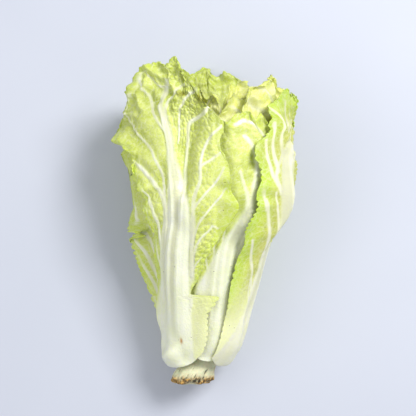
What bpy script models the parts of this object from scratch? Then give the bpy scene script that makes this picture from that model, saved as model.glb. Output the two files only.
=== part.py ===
"""A Chinese cabbage as picked, lying on its side: a cut stem, a dense heart and twelve leaves.

The head's axis runs along +Y, from the cut stem to the leaf tips, and +Z is up. Every point of a
leaf is given by its station along the axis, its direction round the axis and its distance from it.
The leaves are laid on one another from the heart outwards, as they grow, so each one rests a small
gap clear of whatever is under it.
"""

import math
from dataclasses import dataclass

import bmesh
import bpy
import numpy as np

# Driving dimensions, in metres.
HEAD_WIDTH = 0.176
HEAD_HEIGHT = 0.130
STEM_LENGTH = 0.066
HEART_BASE = 0.069
HEART_TIP = 0.276
LAMINA = 0.0011
BASE_GAP = 0.0010
LEAF_GAP = 0.0021
GAP_STATIONS = (0.030, 0.090)

# The outline of the head: stations along the axis, and shares of the full half width and height.
WIDTH_SHARES = (
    (-0.012, 0.20), (0.012, 0.245), (0.016, 0.275), (0.020, 0.335), (0.026, 0.40), (0.040, 0.47),
    (0.060, 0.53), (0.100, 0.62), (0.150, 0.755), (0.200, 0.885), (0.250, 0.985), (0.285, 1.00),
    (0.320, 0.93), (0.380, 0.72),
)
HEIGHT_SHARES = (
    (-0.012, 0.27), (0.012, 0.33), (0.016, 0.374), (0.020, 0.44), (0.026, 0.51), (0.040, 0.59),
    (0.060, 0.655), (0.100, 0.735), (0.150, 0.83), (0.200, 0.92), (0.240, 0.985), (0.270, 1.00),
    (0.320, 0.88), (0.380, 0.60),
)
# The axis: how far it stands to the side, and above the surface that the head lies on.
AXIS_SIDE = (
    (-0.012, -0.019), (0.0, -0.0175), (0.012, -0.0125), (0.025, -0.0045), (0.045, -0.0015), (0.080, 0.0),
    (0.380, 0.0),
)
AXIS_HEIGHT = ((-0.012, 0.034), (0.060, 0.043), (0.250, 0.064), (0.380, 0.066))
# An oval section has a power of 2. Below it is more, so that the underside is pressed flatter.
SECTION_POWER = 2.0
PRESSED_POWER = 0.9

# The cut stem, as stations and radii. It narrows inside the head, where the leaves grow from it.
STEM_RADII = (
    (0.0, 0.0195), (0.002, 0.0213), (0.005, 0.0218), (0.009, 0.0212), (0.013, 0.0206), (0.018, 0.0185),
    (0.030, 0.0150), (0.046, 0.0120), (0.060, 0.0080), (STEM_LENGTH, 0.0030),
)
CUT_DOME = 0.0025
CUT_SHOULDER = (-0.0016, 0.0135)
SCAR_DEPTHS = (0.030, 0.022, 0.035)
RIM_ROUGHNESS = 0.0009
STEM_STEPS = 40
HEART_RADII = (
    (HEART_BASE, 0.008), (0.078, 0.019), (0.095, 0.026), (0.125, 0.034), (0.160, 0.041), (0.195, 0.046),
    (0.225, 0.045), (0.248, 0.037), (0.265, 0.023), (HEART_TIP, 0.008),
)
HEART_STEPS = 36
# The edges of three leaves wind up round the heart, this many turns in a metre.
HEART_LEAVES = 3
HEART_TWIST = 6.0
HEART_OVERLAP = 0.16
HEART_RUFFLE = 0.025

# The net of stations and directions on which the leaves are laid.
STATION_STEP = 0.003
STATIONS = np.arange(-0.012, 0.384, STATION_STEP)
ANGLE_STEP = math.radians(3.0)
ANGLES = np.linspace(0.0, 2 * math.pi, 120, endpoint=False)
SPREAD = 3
SOUNDINGS = (220, 200)

# How a leaf's net is shaped: its rows crowd to the stem, and its heel and tip are rounded.
ROW_CROWDING = 1.18
HEEL = 0.009
TIP_ROUNDING = 2.6
LOBED_SIDES = 0.035
LOBES_PER_METRE = 150
# How far in from the edge the tip's flare and the frill reach.
TIP_REACH = 0.055
FRILL_REACH = 0.034
FRILL_RISE = 1.6
STAND_RISE = 2.6
# Leaves pressed between the head and the surface have only this share of their frill.
PRESSED_FRILL = 0.08

# The lowest leaf's rest spot: stations, half width, and how far its outside is pressed down at most.
REST_STATIONS = (0.080, 0.262)
REST_HALF_WIDTH = 0.036
REST_PRESS = 0.0090


@dataclass(frozen=True)
class Leaf:
    """One leaf. Left and right are as seen from outside with the stem at the bottom."""

    name: str
    base: float  # station where it leaves the stem
    tip: float  # station of its highest point
    layer: float  # share of the head's radius that it lies at, where nothing pushes it out
    course: tuple  # (station, direction in degrees from +X towards +Z) along the midrib
    left: tuple  # (station, half width) up the left margin
    right: tuple
    drops: tuple  # how far the tip's left and right corners lie below its highest point
    left_stand: tuple = ((0.0, 0.0), (1.0, 0.0))  # (station, how far the left margin stands out)
    right_stand: tuple = ((0.0, 0.0), (1.0, 0.0))
    closing: float = 0.0  # how far its tip leans in over the heart, as a share of its distance
    ribs: tuple = ((0.0, 0.0180), (0.35, 0.0150), (0.55, 0.0110), (0.72, 0.0060), (1.0, 0.0025))
    rib_heights: tuple = ((0.0, 0.0016), (0.08, 0.0048), (0.35, 0.0046), (0.65, 0.0026), (1.0, 0.0004))
    flare: float = 0.004  # how far the tip stands out
    frill: float = 0.005
    lobe: float = 0.003
    waves: tuple = (9, 14)
    seed: int = 1
    columns: int = 14
    rows: int = 16


def through(points, x):
    """The smooth curve through a row of (x, y) points, which never swings past them."""
    xs, ys = np.array(points, float).T
    rises = np.diff(ys) / np.diff(xs)
    before, after = rises[:-1], rises[1:]
    same_way = before * after > 0
    mean_rises = 2 * before * after / np.where(same_way, before + after, 1)
    slopes = np.concatenate([rises[:1], np.where(same_way, mean_rises, 0), rises[-1:]])
    x = np.clip(x, xs[0], xs[-1])
    i = np.clip(np.searchsorted(xs, x, side="right") - 1, 0, len(xs) - 2)
    step = xs[i + 1] - xs[i]
    t = (x - xs[i]) / step
    start = (1 + 2 * t) * (1 - t) ** 2 * ys[i] + t * (1 - t) ** 2 * step * slopes[i]
    return start + t * t * (3 - 2 * t) * ys[i + 1] + t * t * (t - 1) * step * slopes[i + 1]


def ramp(x, low, high):
    """0 below low, 1 above high, and smooth between."""
    t = np.clip((x - low) / (high - low), 0, 1)
    return t * t * (3 - 2 * t)


def half_width_at(station):
    return through(WIDTH_SHARES, station) * HEAD_WIDTH / 2


def head_radius(station, angle):
    """The head's own radius: an oval that is flatter below, where it lies on its side."""
    half_height = through(HEIGHT_SHARES, station) * HEAD_HEIGHT / 2
    power = SECTION_POWER + PRESSED_POWER * ramp(-np.sin(angle), 0.0, 0.8)
    across = np.abs(np.cos(angle)) / half_width_at(station)
    up = np.abs(np.sin(angle)) / half_height
    return (across**power + up**power) ** (-1 / power)


def place(station, angle, radius):
    """Points in space, as rows of x, y and z."""
    x = through(AXIS_SIDE, station) + radius * np.cos(angle)
    z = through(AXIS_HEIGHT, station) + radius * np.sin(angle)
    return np.stack([x, station, z], axis=-1)


def neighbours(field):
    """The field and its eight shifted copies, one step along the stations and the directions."""
    padded = np.pad(field, ((1, 1), (0, 0)), mode="edge")
    rows = [padded[i : i + len(field)] for i in range(3)]
    return [np.roll(row, turn, axis=1) for row in rows for turn in (-1, 0, 1)]


def spread(field):
    """The field widened by a few steps and smoothed, which nowhere falls below the field itself."""
    for _ in range(SPREAD):
        field = np.max(neighbours(field), axis=0)
    return np.mean(neighbours(field), axis=0)


def spline_weights(t):
    """The shares of four neighbours in a smooth curve past them, a part t beyond the second."""
    first = (1 - t) ** 3
    second = 3 * t**3 - 6 * t**2 + 4
    third = -3 * t**3 + 3 * t**2 + 3 * t + 1
    return first / 6, second / 6, third / 6, t**3 / 6


def sample(field, station, angle):
    """The field read between its points, smoothly."""
    along = (station - STATIONS[0]) / STATION_STEP
    around = angle / ANGLE_STEP
    row, column = np.floor(along).astype(int), np.floor(around).astype(int)
    total = 0.0
    for j, along_weight in enumerate(spline_weights(along - row)):
        rows = np.clip(row + j - 1, 0, len(STATIONS) - 1)
        for i, around_weight in enumerate(spline_weights(around - column)):
            columns = (column + i - 1) % len(ANGLES)
            total = total + along_weight * around_weight * field[rows, columns]
    return total


def lift_of(leaf, station, angle, row, v, half, length, phases):
    """How far a leaf stands off what is under it: a flared tip, a standing margin and a frill."""
    across = v * half
    to_tip = (1 - row) * length
    to_edge = np.minimum((1 - np.abs(v)) * half, to_tip)
    middle = leaf.base + 0.6 * (leaf.tip - leaf.base)
    bearing = np.arctan2(station - middle, across)
    slow, quick = leaf.waves
    wave = 0.5 + 0.3 * np.sin(slow * bearing + phases[0]) + 0.2 * np.sin(quick * bearing + phases[1])
    frill = leaf.frill * np.clip(1 - to_edge / FRILL_REACH, 0, 1) ** FRILL_RISE * wave * ramp(row, 0.25, 0.62)
    flare = leaf.flare * np.clip(1 - to_tip / TIP_REACH, 0, 1) ** 2
    stand = np.where(v < 0, through(leaf.left_stand, station), through(leaf.right_stand, station))
    free = 1 - (1 - PRESSED_FRILL) * ramp(-np.sin(angle), 0.35, 0.85)
    return free * (flare + stand * np.abs(v) ** STAND_RISE + frill)


def leaf_sheet(leaf, bed, u, v):
    """Station, direction, inner and outer radius of the leaf's points.

    u runs from the stem to the tip, and v from the left margin to the right.
    """
    row = u**ROW_CROWDING
    reach = leaf.tip - leaf.base
    level = leaf.base + reach * row
    phases = np.random.default_rng(leaf.seed).uniform(0, 2 * math.pi, 5)
    lobes = leaf.lobe * (np.sin(9 * v + phases[2]) + 0.6 * np.sin(16 * v + phases[3]))
    drop = np.where(v < 0, *leaf.drops) * np.abs(v) ** TIP_ROUNDING
    length = reach + (lobes - drop) * ramp(row, 0.2, 0.95)
    station = leaf.base + HEEL * v * v * (1 - row) ** 4 + length * row
    half = np.where(v < 0, through(leaf.left, level), through(leaf.right, level))
    side_lobes = np.sin(LOBES_PER_METRE * station + phases[4]) * ramp(row, 0.35, 0.6)
    half = half * (1 + LOBED_SIDES * side_lobes)
    across = v * half
    angle = np.radians(through(leaf.course, level)) - across / half_width_at(station)

    gap = BASE_GAP + (LEAF_GAP - BASE_GAP) * ramp(station, *GAP_STATIONS)
    lift = lift_of(leaf, station, angle, row, v, half, length, phases)
    inner = sample(bed, station, angle) * head_radius(station, angle) + gap + lift
    rib_half = 1.25 * through(leaf.ribs, row)
    rib = through(leaf.rib_heights, row) * np.clip(1 - (across / rib_half) ** 2, 0, 1) ** 1.5
    return station, angle, inner, inner + LAMINA + rib


def lay_leaves(leaves, packed):
    """The bed under each leaf, as shares of the head's radius, from the heart outwards."""
    stations, angles = np.meshgrid(STATIONS, ANGLES, indexing="ij")
    shell = head_radius(stations, angles)
    u, v = np.meshgrid(np.linspace(0, 1, SOUNDINGS[0]), np.linspace(-1, 1, SOUNDINGS[1]), indexing="ij")
    beds = {}
    for leaf in leaves:
        share = np.clip((stations - leaf.base) / (leaf.tip - leaf.base), 0, 1)
        own = leaf.layer - (through(leaf.rib_heights, share) + LAMINA) / shell
        own = own * (1 - leaf.closing * ramp(share, 0.72, 1.0))
        beds[leaf.name] = spread(np.maximum(packed, own))
        station, angle, _, outer = leaf_sheet(leaf, beds[leaf.name], u, v)
        rows = np.rint((station - STATIONS[0]) / STATION_STEP).astype(int)
        columns = np.rint(angle / ANGLE_STEP).astype(int) % len(ANGLES)
        packed = packed.copy()
        np.maximum.at(packed, (rows, columns), outer / head_radius(station, angle))
    return beds


def blade(columns, rows):
    """A thin closed blade over a square net. Both faces are split into triangles alike."""
    mesh = bmesh.new()
    bmesh.ops.create_grid(mesh, x_segments=columns, y_segments=rows, size=1.0)
    bmesh.ops.triangulate(mesh, faces=mesh.faces[:], quad_method="FIXED")
    bmesh.ops.solidify(mesh, geom=mesh.faces[:], thickness=0.5)
    return mesh


def net_of(mesh):
    return np.array([vertex.co for vertex in mesh.verts])


def move_points(mesh, points):
    for vertex, point in zip(mesh.verts, points):
        vertex.co = point


def leaf_mesh(leaf, bed):
    mesh = blade(leaf.columns, leaf.rows)
    net = net_of(mesh)
    station, angle, inner, outer = leaf_sheet(leaf, bed, (net[:, 1] + 1) / 2, net[:, 0])
    outside = np.abs(net[:, 2]) < 0.25
    move_points(mesh, place(station, angle, np.where(outside, outer, inner)))
    bmesh.ops.recalc_face_normals(mesh, faces=mesh.faces[:])
    return mesh


def turned(profile, steps):
    """A profile of (station, radius) turned about the Y axis, with a point at each end."""
    mesh = bmesh.new()
    points = [mesh.verts.new((radius, station, 0.0)) for station, radius in profile]
    edges = [mesh.edges.new(pair) for pair in zip(points, points[1:])]
    turn = {"cent": (0, 0, 0), "axis": (0, 1, 0), "angle": 2 * math.pi, "steps": steps}
    bmesh.ops.spin(mesh, geom=points + edges, use_merge=True, **turn)
    bmesh.ops.remove_doubles(mesh, verts=mesh.verts[:], dist=1e-6)
    bmesh.ops.recalc_face_normals(mesh, faces=mesh.faces[:])
    bmesh.ops.triangulate(mesh, faces=mesh.faces[:])
    return mesh


def stem_mesh():
    """The stub left by the knife: a slightly domed cut, a rough rim and the scars of shed leaves."""
    profile = ((-CUT_DOME, 0.0), CUT_SHOULDER, *STEM_RADII, (STEM_LENGTH + 0.002, 0.0))
    mesh = turned(profile, STEM_STEPS)
    net = net_of(mesh)
    radius, angle, station = np.hypot(net[:, 0], net[:, 2]), np.arctan2(net[:, 2], net[:, 0]), net[:, 1]
    upright, slanted, broad = SCAR_DEPTHS
    lumps = upright * np.sin(7 * angle + 260 * station + 1.0) + slanted * np.sin(13 * angle - 190 * station)
    lumps = (lumps + broad * np.sin(3 * angle + 2.1)) * ramp(0.014 - station, 0.0, 0.008)
    at_rim = ramp(0.004 - station, 0.0, 0.004) * ramp(radius, 0.004, 0.016)
    rim = RIM_ROUGHNESS * np.sin(5 * angle + 0.4) * at_rim
    move_points(mesh, place(station + rim, angle, radius * (1 + lumps)))
    return mesh


def heart_radius(station, angle):
    """The heart's radius: leaf edges wind round it, and it has the head's own flattened section."""
    oval = head_radius(station, angle) / half_width_at(station)
    turn = (HEART_LEAVES * angle / (2 * math.pi) - HEART_TWIST * station) % 1.0
    overlap = HEART_OVERLAP * (ramp(turn, 0.0, 0.25) - turn)
    ruffle = HEART_RUFFLE * np.sin(8 * angle + 60 * station + 1.3)
    relief = 1 + (overlap + ruffle) * ramp(station, 0.08, 0.16)
    return through(HEART_RADII, station) * (0.45 + 0.55 * oval) * relief


def heart_mesh():
    """The inner leaves that are packed too closely to tell apart."""
    mesh = turned(((HEART_BASE - 0.001, 0.0), *HEART_RADII, (HEART_TIP + 0.0005, 0.0)), HEART_STEPS)
    net = net_of(mesh)
    angle, station = np.arctan2(net[:, 2], net[:, 0]), net[:, 1]
    on_axis = np.hypot(net[:, 0], net[:, 2]) < 1e-5
    move_points(mesh, place(station, angle, np.where(on_axis, 0.0, heart_radius(station, angle))))
    return mesh


def packed_core():
    """How far out the stem and the heart reach, as shares of the head's radius."""
    stations, angles = np.meshgrid(STATIONS, ANGLES, indexing="ij")
    lumps = 1 + sum(SCAR_DEPTHS) * ramp(0.014 - stations, 0.0, 0.008)
    stem = np.where(stations <= STEM_LENGTH, through(STEM_RADII, stations) * lumps, 0.0)
    in_heart = (stations >= HEART_BASE) & (stations <= HEART_TIP)
    heart = np.where(in_heart, heart_radius(stations, angles), 0.0)
    return np.maximum(stem, heart) / head_radius(stations, angles)


def plain_margin(most, base, tip):
    """A plain leaf's margin: a broad stalk that widens to a rounded blade."""
    shares = ((0.0, 0.42), (0.16, 0.55), (0.45, 0.78), (0.75, 1.0), (1.0, 0.80))
    return tuple((base + along * (tip - base), share * most) for along, share in shares)


def inner_leaf(number, seed, base, tip, layer, course, most, **shape):
    """One of the leaves inside the head."""
    margin = plain_margin(most, base, tip)
    return Leaf(
        f"inner_leaf_{number}", base, tip, layer, course, margin, margin, (0.036, 0.036),
        ribs=((0.0, 0.0130), (0.4, 0.0110), (0.7, 0.0060), (1.0, 0.0020)),
        rib_heights=((0.0, 0.0010), (0.12, 0.0030), (0.4, 0.0028), (0.7, 0.0016), (1.0, 0.0004)),
        waves=(7, 11), seed=seed, columns=12, rows=13, **shape,
    )


# The leaves from the heart outwards, each about three eighths of a turn from the last.
LEAVES = (
    inner_leaf(
        6, 16, 0.048, 0.308, 0.66, ((0.05, 50), (0.22, 42), (0.30, 50)), 0.050,
        frill=0.005, flare=0.002, closing=0.05,
    ),
    inner_leaf(
        5, 15, 0.044, 0.300, 0.70, ((0.04, 92), (0.29, 98)), 0.056,
        frill=0.008, flare=0.002, closing=0.25,
    ),
    inner_leaf(
        4, 14, 0.040, 0.310, 0.72, ((0.04, 232), (0.31, 236)), 0.066,
        frill=0.005, flare=0.002, closing=0.4,
    ),
    inner_leaf(
        3, 13, 0.036, 0.294, 0.80, ((0.03, 66), (0.20, 50), (0.26, 50), (0.30, 58)), 0.058,
        frill=0.005, flare=0.002, closing=-0.06,
    ),
    inner_leaf(
        2, 12, 0.032, 0.314, 0.80, ((0.03, -14), (0.20, 8), (0.32, 32)), 0.068,
        frill=0.006, flare=0.002, closing=-0.04,
    ),
    inner_leaf(
        1, 11, 0.028, 0.314, 0.81, ((0.02, 182), (0.31, 186)), 0.078,
        frill=0.005, flare=0.004, closing=0.1,
    ),
    Leaf(
        "middle_leaf", 0.023, 0.270, 0.91,
        ((0.023, 76), (0.128, 71), (0.190, 56), (0.223, 50), (0.244, 52), (0.270, 60)),
        ((0.023, 0.026), (0.06, 0.036), (0.10, 0.047), (0.17, 0.054), (0.24, 0.054), (0.270, 0.038)),
        ((0.023, 0.022), (0.10, 0.022), (0.17, 0.026), (0.24, 0.036), (0.270, 0.030)),
        (0.018, 0.020), flare=0.001, frill=0.003, waves=(7, 11), seed=5, columns=14, rows=18,
    ),
    Leaf(
        "side_leaf", 0.019, 0.292, 0.86, ((0.019, 216), (0.292, 210)),
        ((0.019, 0.022), (0.060, 0.040), (0.130, 0.056), (0.220, 0.066), (0.292, 0.052)),
        ((0.019, 0.018), (0.060, 0.026), (0.130, 0.032), (0.220, 0.044), (0.292, 0.040)),
        (0.044, 0.050), flare=0.002, frill=0.004, waves=(8, 13), seed=9, columns=14, rows=17,
    ),
    Leaf(
        "left_leaf", 0.018, 0.262, 0.87, ((0.018, 164), (0.080, 156), (0.262, 152)),
        (
            (0.018, 0.015), (0.040, 0.018), (0.062, 0.021), (0.084, 0.024), (0.108, 0.027), (0.140, 0.030),
            (0.157, 0.033), (0.163, 0.014), (0.168, 0.014), (0.174, 0.035), (0.205, 0.037), (0.235, 0.041), (0.262, 0.042),
        ),
        ((0.018, 0.015), (0.080, 0.028), (0.160, 0.040), (0.262, 0.036)),
        (0.036, 0.040),
        left_stand=(
            (0.045, 0.0), (0.060, 0.001), (0.080, 0.006), (0.105, 0.011), (0.130, 0.0145), (0.150, 0.013),
            (0.160, 0.012), (0.175, 0.007), (0.200, 0.001), (0.215, 0.0),
        ),
        ribs=((0.0, 0.0110), (0.4, 0.0090), (0.7, 0.0050), (1.0, 0.0020)),
        rib_heights=((0.0, 0.0010), (0.12, 0.0024), (0.4, 0.0022), (0.7, 0.0012), (1.0, 0.0004)),
        flare=0.001, frill=0.003, waves=(8, 13), seed=6, columns=18, rows=26,
    ),
    Leaf(
        "top_leaf", 0.016, 0.328, 0.955,
        ((0.016, 141), (0.054, 138), (0.128, 128), (0.190, 117), (0.244, 114), (0.290, 120), (0.328, 126)),
        (
            (0.016, 0.024), (0.050, 0.027), (0.105, 0.024), (0.150, 0.027), (0.197, 0.041), (0.219, 0.048),
            (0.240, 0.058), (0.273, 0.066), (0.297, 0.074), (0.328, 0.059),
        ),
        (
            (0.016, 0.024), (0.025, 0.033), (0.045, 0.040), (0.064, 0.041), (0.086, 0.052), (0.0885, 0.022),
            (0.105, 0.031), (0.126, 0.039), (0.160, 0.056), (0.200, 0.062), (0.280, 0.062), (0.328, 0.046),
        ),
        (0.054, 0.040),
        frill=0.007, waves=(10, 17), seed=3, columns=24, rows=27,
    ),
    Leaf(
        "right_leaf", 0.017, 0.300, 0.955,
        ((0.017, 30), (0.085, 18), (0.190, 13), (0.250, 9), (0.268, 8), (0.285, 14), (0.300, 20)),
        (
            (0.017, 0.028), (0.043, 0.036), (0.085, 0.046), (0.138, 0.052), (0.180, 0.057), (0.210, 0.057),
            (0.245, 0.074), (0.275, 0.060), (0.300, 0.044),
        ),
        ((0.017, 0.023), (0.060, 0.036), (0.130, 0.056), (0.220, 0.076), (0.270, 0.076), (0.300, 0.054)),
        (0.022, 0.030),
        left_stand=((0.020, 0.0), (0.100, 0.003), (0.200, 0.004), (0.250, 0.003), (0.300, 0.001)),
        flare=0.001, frill=0.006, lobe=0.002, waves=(13, 19), seed=2, columns=20, rows=21,
    ),
    Leaf(
        "lower_leaf", 0.0155, 0.347, 0.965, ((0.0155, 268), (0.340, 272)),
        ((0.0155, 0.026), (0.080, 0.044), (0.170, 0.064), (0.260, 0.084), (0.347, 0.060)),
        ((0.0155, 0.026), (0.080, 0.044), (0.170, 0.064), (0.260, 0.084), (0.347, 0.062)),
        (0.034, 0.030), flare=0.0, frill=0.007, seed=4, columns=18, rows=18,
    ),
)

# Each finish's colour, in the linear values that Blender takes, and its roughness.
FINISHES = {
    "stem": ((0.78, 0.72, 0.50, 1.0), 0.75),
    "heart": ((0.80, 0.78, 0.28, 1.0), 0.45),
    "inner_leaf": ((0.78, 0.80, 0.30, 1.0), 0.40),
    "outer_leaf": ((0.66, 0.76, 0.24, 1.0), 0.42),
    "top_leaf": ((0.74, 0.80, 0.36, 1.0), 0.40),
}
LEAF_FINISHES = {"top_leaf": "top_leaf", "middle_leaf": "top_leaf"}


def material(finish):
    colour, roughness = FINISHES[finish]
    made = bpy.data.materials.new(finish)
    made.use_nodes = True
    shader = made.node_tree.nodes["Principled BSDF"]
    shader.inputs["Base Color"].default_value = colour
    shader.inputs["Roughness"].default_value = roughness
    shader.inputs["Metallic"].default_value = 0.0
    return made


def add_piece(name, mesh, finish, carrier):
    data = bpy.data.meshes.new(name)
    mesh.to_mesh(data)
    mesh.free()
    data.materials.append(material(finish))
    data.shade_smooth()
    piece = bpy.data.objects.new(name, data)
    piece.parent = carrier
    bpy.context.scene.collection.objects.link(piece)
    return piece


def finish_of(leaf):
    if leaf.name.startswith("inner"):
        return "inner_leaf"
    return LEAF_FINISHES.get(leaf.name, "outer_leaf")


def press_flat(piece):
    """Presses the outside of the lowest leaf to one level where the head rests, and returns it."""
    lowest = min(vertex.co.z for vertex in piece.data.vertices)
    for vertex in piece.data.vertices:
        in_length = REST_STATIONS[0] < vertex.co.y < REST_STATIONS[1]
        in_width = abs(vertex.co.x) < REST_HALF_WIDTH
        if in_length and in_width and vertex.co.z < lowest + REST_PRESS and vertex.normal.z < -0.5:
            vertex.co.z = lowest
    return lowest


def main():
    for old in list(bpy.data.objects):
        bpy.data.objects.remove(old)
    carrier = bpy.data.objects.new("head_axis", None)
    bpy.context.scene.collection.objects.link(carrier)

    beds = lay_leaves(LEAVES, packed_core())
    pieces = {
        "stem": add_piece("stem", stem_mesh(), "stem", carrier),
        "heart": add_piece("heart", heart_mesh(), "heart", carrier),
    }
    for leaf in LEAVES:
        pieces[leaf.name] = add_piece(leaf.name, leaf_mesh(leaf, beds[leaf.name]), finish_of(leaf), carrier)

    lowest = press_flat(pieces["lower_leaf"])
    corners = np.array([vertex.co for piece in pieces.values() for vertex in piece.data.vertices])
    middle = (corners.min(axis=0) + corners.max(axis=0)) / 2
    carrier.location = (-middle[0], -middle[1], -lowest)


main()
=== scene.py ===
"""A Chinese cabbage as picked, lying on its side, dressed over its CAD part.

The leaves are grown again from the same measures as the CAD part, with the teeth, ruffles, veins
and puckers of the real ones, and are laid on one another from the heart outwards in the same way.
"""

import functools
import math
from dataclasses import dataclass

import bmesh
import bpy
import numpy as np
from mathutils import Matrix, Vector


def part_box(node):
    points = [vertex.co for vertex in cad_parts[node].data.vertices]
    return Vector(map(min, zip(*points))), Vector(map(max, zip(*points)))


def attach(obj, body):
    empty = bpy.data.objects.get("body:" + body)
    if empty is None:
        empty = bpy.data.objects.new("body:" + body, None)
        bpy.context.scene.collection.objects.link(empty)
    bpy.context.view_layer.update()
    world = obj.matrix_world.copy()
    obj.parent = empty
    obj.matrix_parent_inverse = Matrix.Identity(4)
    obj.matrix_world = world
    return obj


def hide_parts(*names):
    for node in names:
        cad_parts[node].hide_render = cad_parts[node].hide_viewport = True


bl_info = {
    "name": "Chinese cabbage",
    "version": (1, 0, 0),
    "blender": (4, 5, 0),
    "location": "View3D > Sidebar > Cabbage",
    "description": "Grows the leaves, heart and cut stem of a Chinese cabbage",
    "category": "Add Mesh",
}

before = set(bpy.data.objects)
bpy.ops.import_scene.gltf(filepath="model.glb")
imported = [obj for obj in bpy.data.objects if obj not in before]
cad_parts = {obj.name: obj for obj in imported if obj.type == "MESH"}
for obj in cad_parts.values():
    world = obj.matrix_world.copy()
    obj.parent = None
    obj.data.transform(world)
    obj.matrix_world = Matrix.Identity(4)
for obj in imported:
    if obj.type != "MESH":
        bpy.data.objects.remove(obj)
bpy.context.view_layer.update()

# The head's own measures, as in the CAD part, in metres.
HEAD_WIDTH = 0.176
HEAD_HEIGHT = 0.130
STEM_LENGTH = 0.066
HEART_BASE = 0.069
HEART_TIP = 0.276
LAMINA = 0.0011  # how thick a blade is
BASE_GAP = 0.0010  # the gap between leaves near the stem
LEAF_GAP = 0.0021  # the gap between leaves further up
GAP_STATIONS = (0.030, 0.090)  # where the one gap passes into the other
WIDTH_SHARES = (
    (-0.012, 0.20), (0.012, 0.245), (0.016, 0.275), (0.020, 0.335), (0.026, 0.40), (0.040, 0.47),
    (0.060, 0.53), (0.100, 0.62), (0.150, 0.755), (0.200, 0.885), (0.250, 0.985), (0.285, 1.00),
    (0.320, 0.93), (0.380, 0.72),
)
HEIGHT_SHARES = (
    (-0.012, 0.27), (0.012, 0.33), (0.016, 0.374), (0.020, 0.44), (0.026, 0.51), (0.040, 0.59),
    (0.060, 0.655), (0.100, 0.735), (0.150, 0.83), (0.200, 0.92), (0.240, 0.985), (0.270, 1.00),
    (0.320, 0.88), (0.380, 0.60),
)
AXIS_SIDE = (
    (-0.012, -0.019), (0.0, -0.0175), (0.012, -0.0125), (0.025, -0.0045), (0.045, -0.0015), (0.080, 0.0),
    (0.380, 0.0),
)
AXIS_HEIGHT = ((-0.012, 0.034), (0.060, 0.043), (0.250, 0.064), (0.380, 0.066))
SECTION_POWER = 2.0  # 2 is a plain oval
PRESSED_POWER = 0.9  # how much squarer the section is underneath
STEM_RADII = (
    (0.0, 0.0195), (0.002, 0.0213), (0.005, 0.0218), (0.009, 0.0212), (0.013, 0.0206), (0.018, 0.0185),
    (0.030, 0.0150), (0.046, 0.0120), (0.060, 0.0080), (STEM_LENGTH, 0.0030),
)
CUT_DOME = 0.0025  # how far the cut face bulges
CUT_SHOULDER = (-0.0016, 0.0135)  # (station, radius) where the cut face bends to its rim
SCAR_DEPTHS = (0.030, 0.022, 0.035)  # shares of the radius: upright, slanted and broad lumps
RIM_ROUGHNESS = 0.0009
STEM_STEPS = 40  # how many sides the CAD stem has
HEART_RADII = (
    (HEART_BASE, 0.008), (0.078, 0.019), (0.095, 0.026), (0.125, 0.034), (0.160, 0.041), (0.195, 0.046),
    (0.225, 0.045), (0.248, 0.037), (0.265, 0.023), (HEART_TIP, 0.008),
)
HEART_LEAVES = 3  # how many leaf edges wind round the heart
HEART_TWIST = 6.0  # turns a metre
HEART_OVERLAP = 0.16  # how far an edge stands out, as a share of the radius
HEART_RUFFLE = 0.025
STATION_STEP = 0.003
STATIONS = np.arange(-0.012, 0.384, STATION_STEP)
ANGLE_STEP = math.radians(3.0)
ANGLES = np.linspace(0.0, 2 * math.pi, 120, endpoint=False)
SPREAD = 3  # how many net steps a leaf's outside is widened by for the next leaf
SOUNDINGS = (220, 200)  # points along and across a leaf where it is measured
OPEN_SHARE = 1.25  # the ceiling where nothing lies over a leaf
ROW_CROWDING = 1.18  # above 1, a leaf's rows are closer together near its base
HEEL = 0.009  # how much further up the margins start than the rib
TIP_ROUNDING = 2.6  # how square the tip's outline is
LOBED_SIDES = 0.035  # how deep the side lobes are, as a share of the half width
LOBES_PER_METRE = 150
TIP_REACH = 0.055  # how long the part is that flares
FRILL_REACH = 0.034  # how far in from the edge the frill begins
FRILL_RISE = 1.6  # how suddenly it rises
STAND_RISE = 2.6  # how suddenly a standing margin rises
PRESSED_FRILL = 0.08  # the share of the frill that is left under the head
REST_STATIONS = (0.080, 0.262)  # the flat spot's ends
REST_HALF_WIDTH = 0.036
REST_PRESS = 0.0090  # how far up the flat spot takes in the lowest leaf

# The fine detail: where ruffles and teeth begin, and how far apart things are.
RUFFLE_REACH = 0.020  # how far in from the edge the ruffles begin
RUFFLE_LENGTH = 0.0085
TOOTH_SPACING = 0.0056
PUCKER_SIZE = 0.0065
PUCKER_WALL = 0.28  # how much of a pucker is its sloping wall
PUFF_REACH = 0.0065  # how far from a vein the blade has risen
WANDER_SIZE = (0.019, 0.023)  # how far apart the bends in the rows of puckers are
PATCH_SIZE = (0.022, 0.026)  # how large the patches of stronger puckers are
VEIN_SIGHT = 0.014  # how far from a vein its relief is worked out
VEIN_SWELL = 2.1  # how many half widths a vein's foot reaches
RIB_SPREAD = 1.25  # the same for a rib
STRAND_WIDTH = 0.0060  # how far apart the strands of a broad rib are
STRAND_LENGTH = 0.20
STRAND_HEIGHT = 0.0008
BROAD_CRUMPLE = (0.012, 0.010)  # how far apart the crumples are, across and along
FINE_CRUMPLE = (0.0055, 0.0050)
WAD_REACH = 0.03  # how far in from the edge the tip is wadded up
SLIP_SIZE = 0.014  # how long a sideways shift of a crumpled part is
ROLL_REACH = 2.2  # how many heights of the roll its foot reaches
ROLL_LENGTH = 0.015  # how far apart the rolled places are
ROLL_BACK = 1.7  # how many heights of the roll it comes back over the leaf
OPEN_TIPS = (0.290, 0.320)  # the stations past which the head's weight presses no leaf flat
CLEARANCE = 0.0004  # the least room left under the next leaf
INNER_TIP_CROWDING = 1.5  # above 1, an inner leaf's rows are closer together near its tip

# The stem's fine detail.
STEM_TURNS = 220  # how many sides the dressed stem has
RIM_STATION = 0.0015  # where the corky rim is highest
RIM_REACH = 0.0046  # how broad the rim is
SIDE_RADII = (0.015, 0.018)  # where the cut face passes into the side

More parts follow.
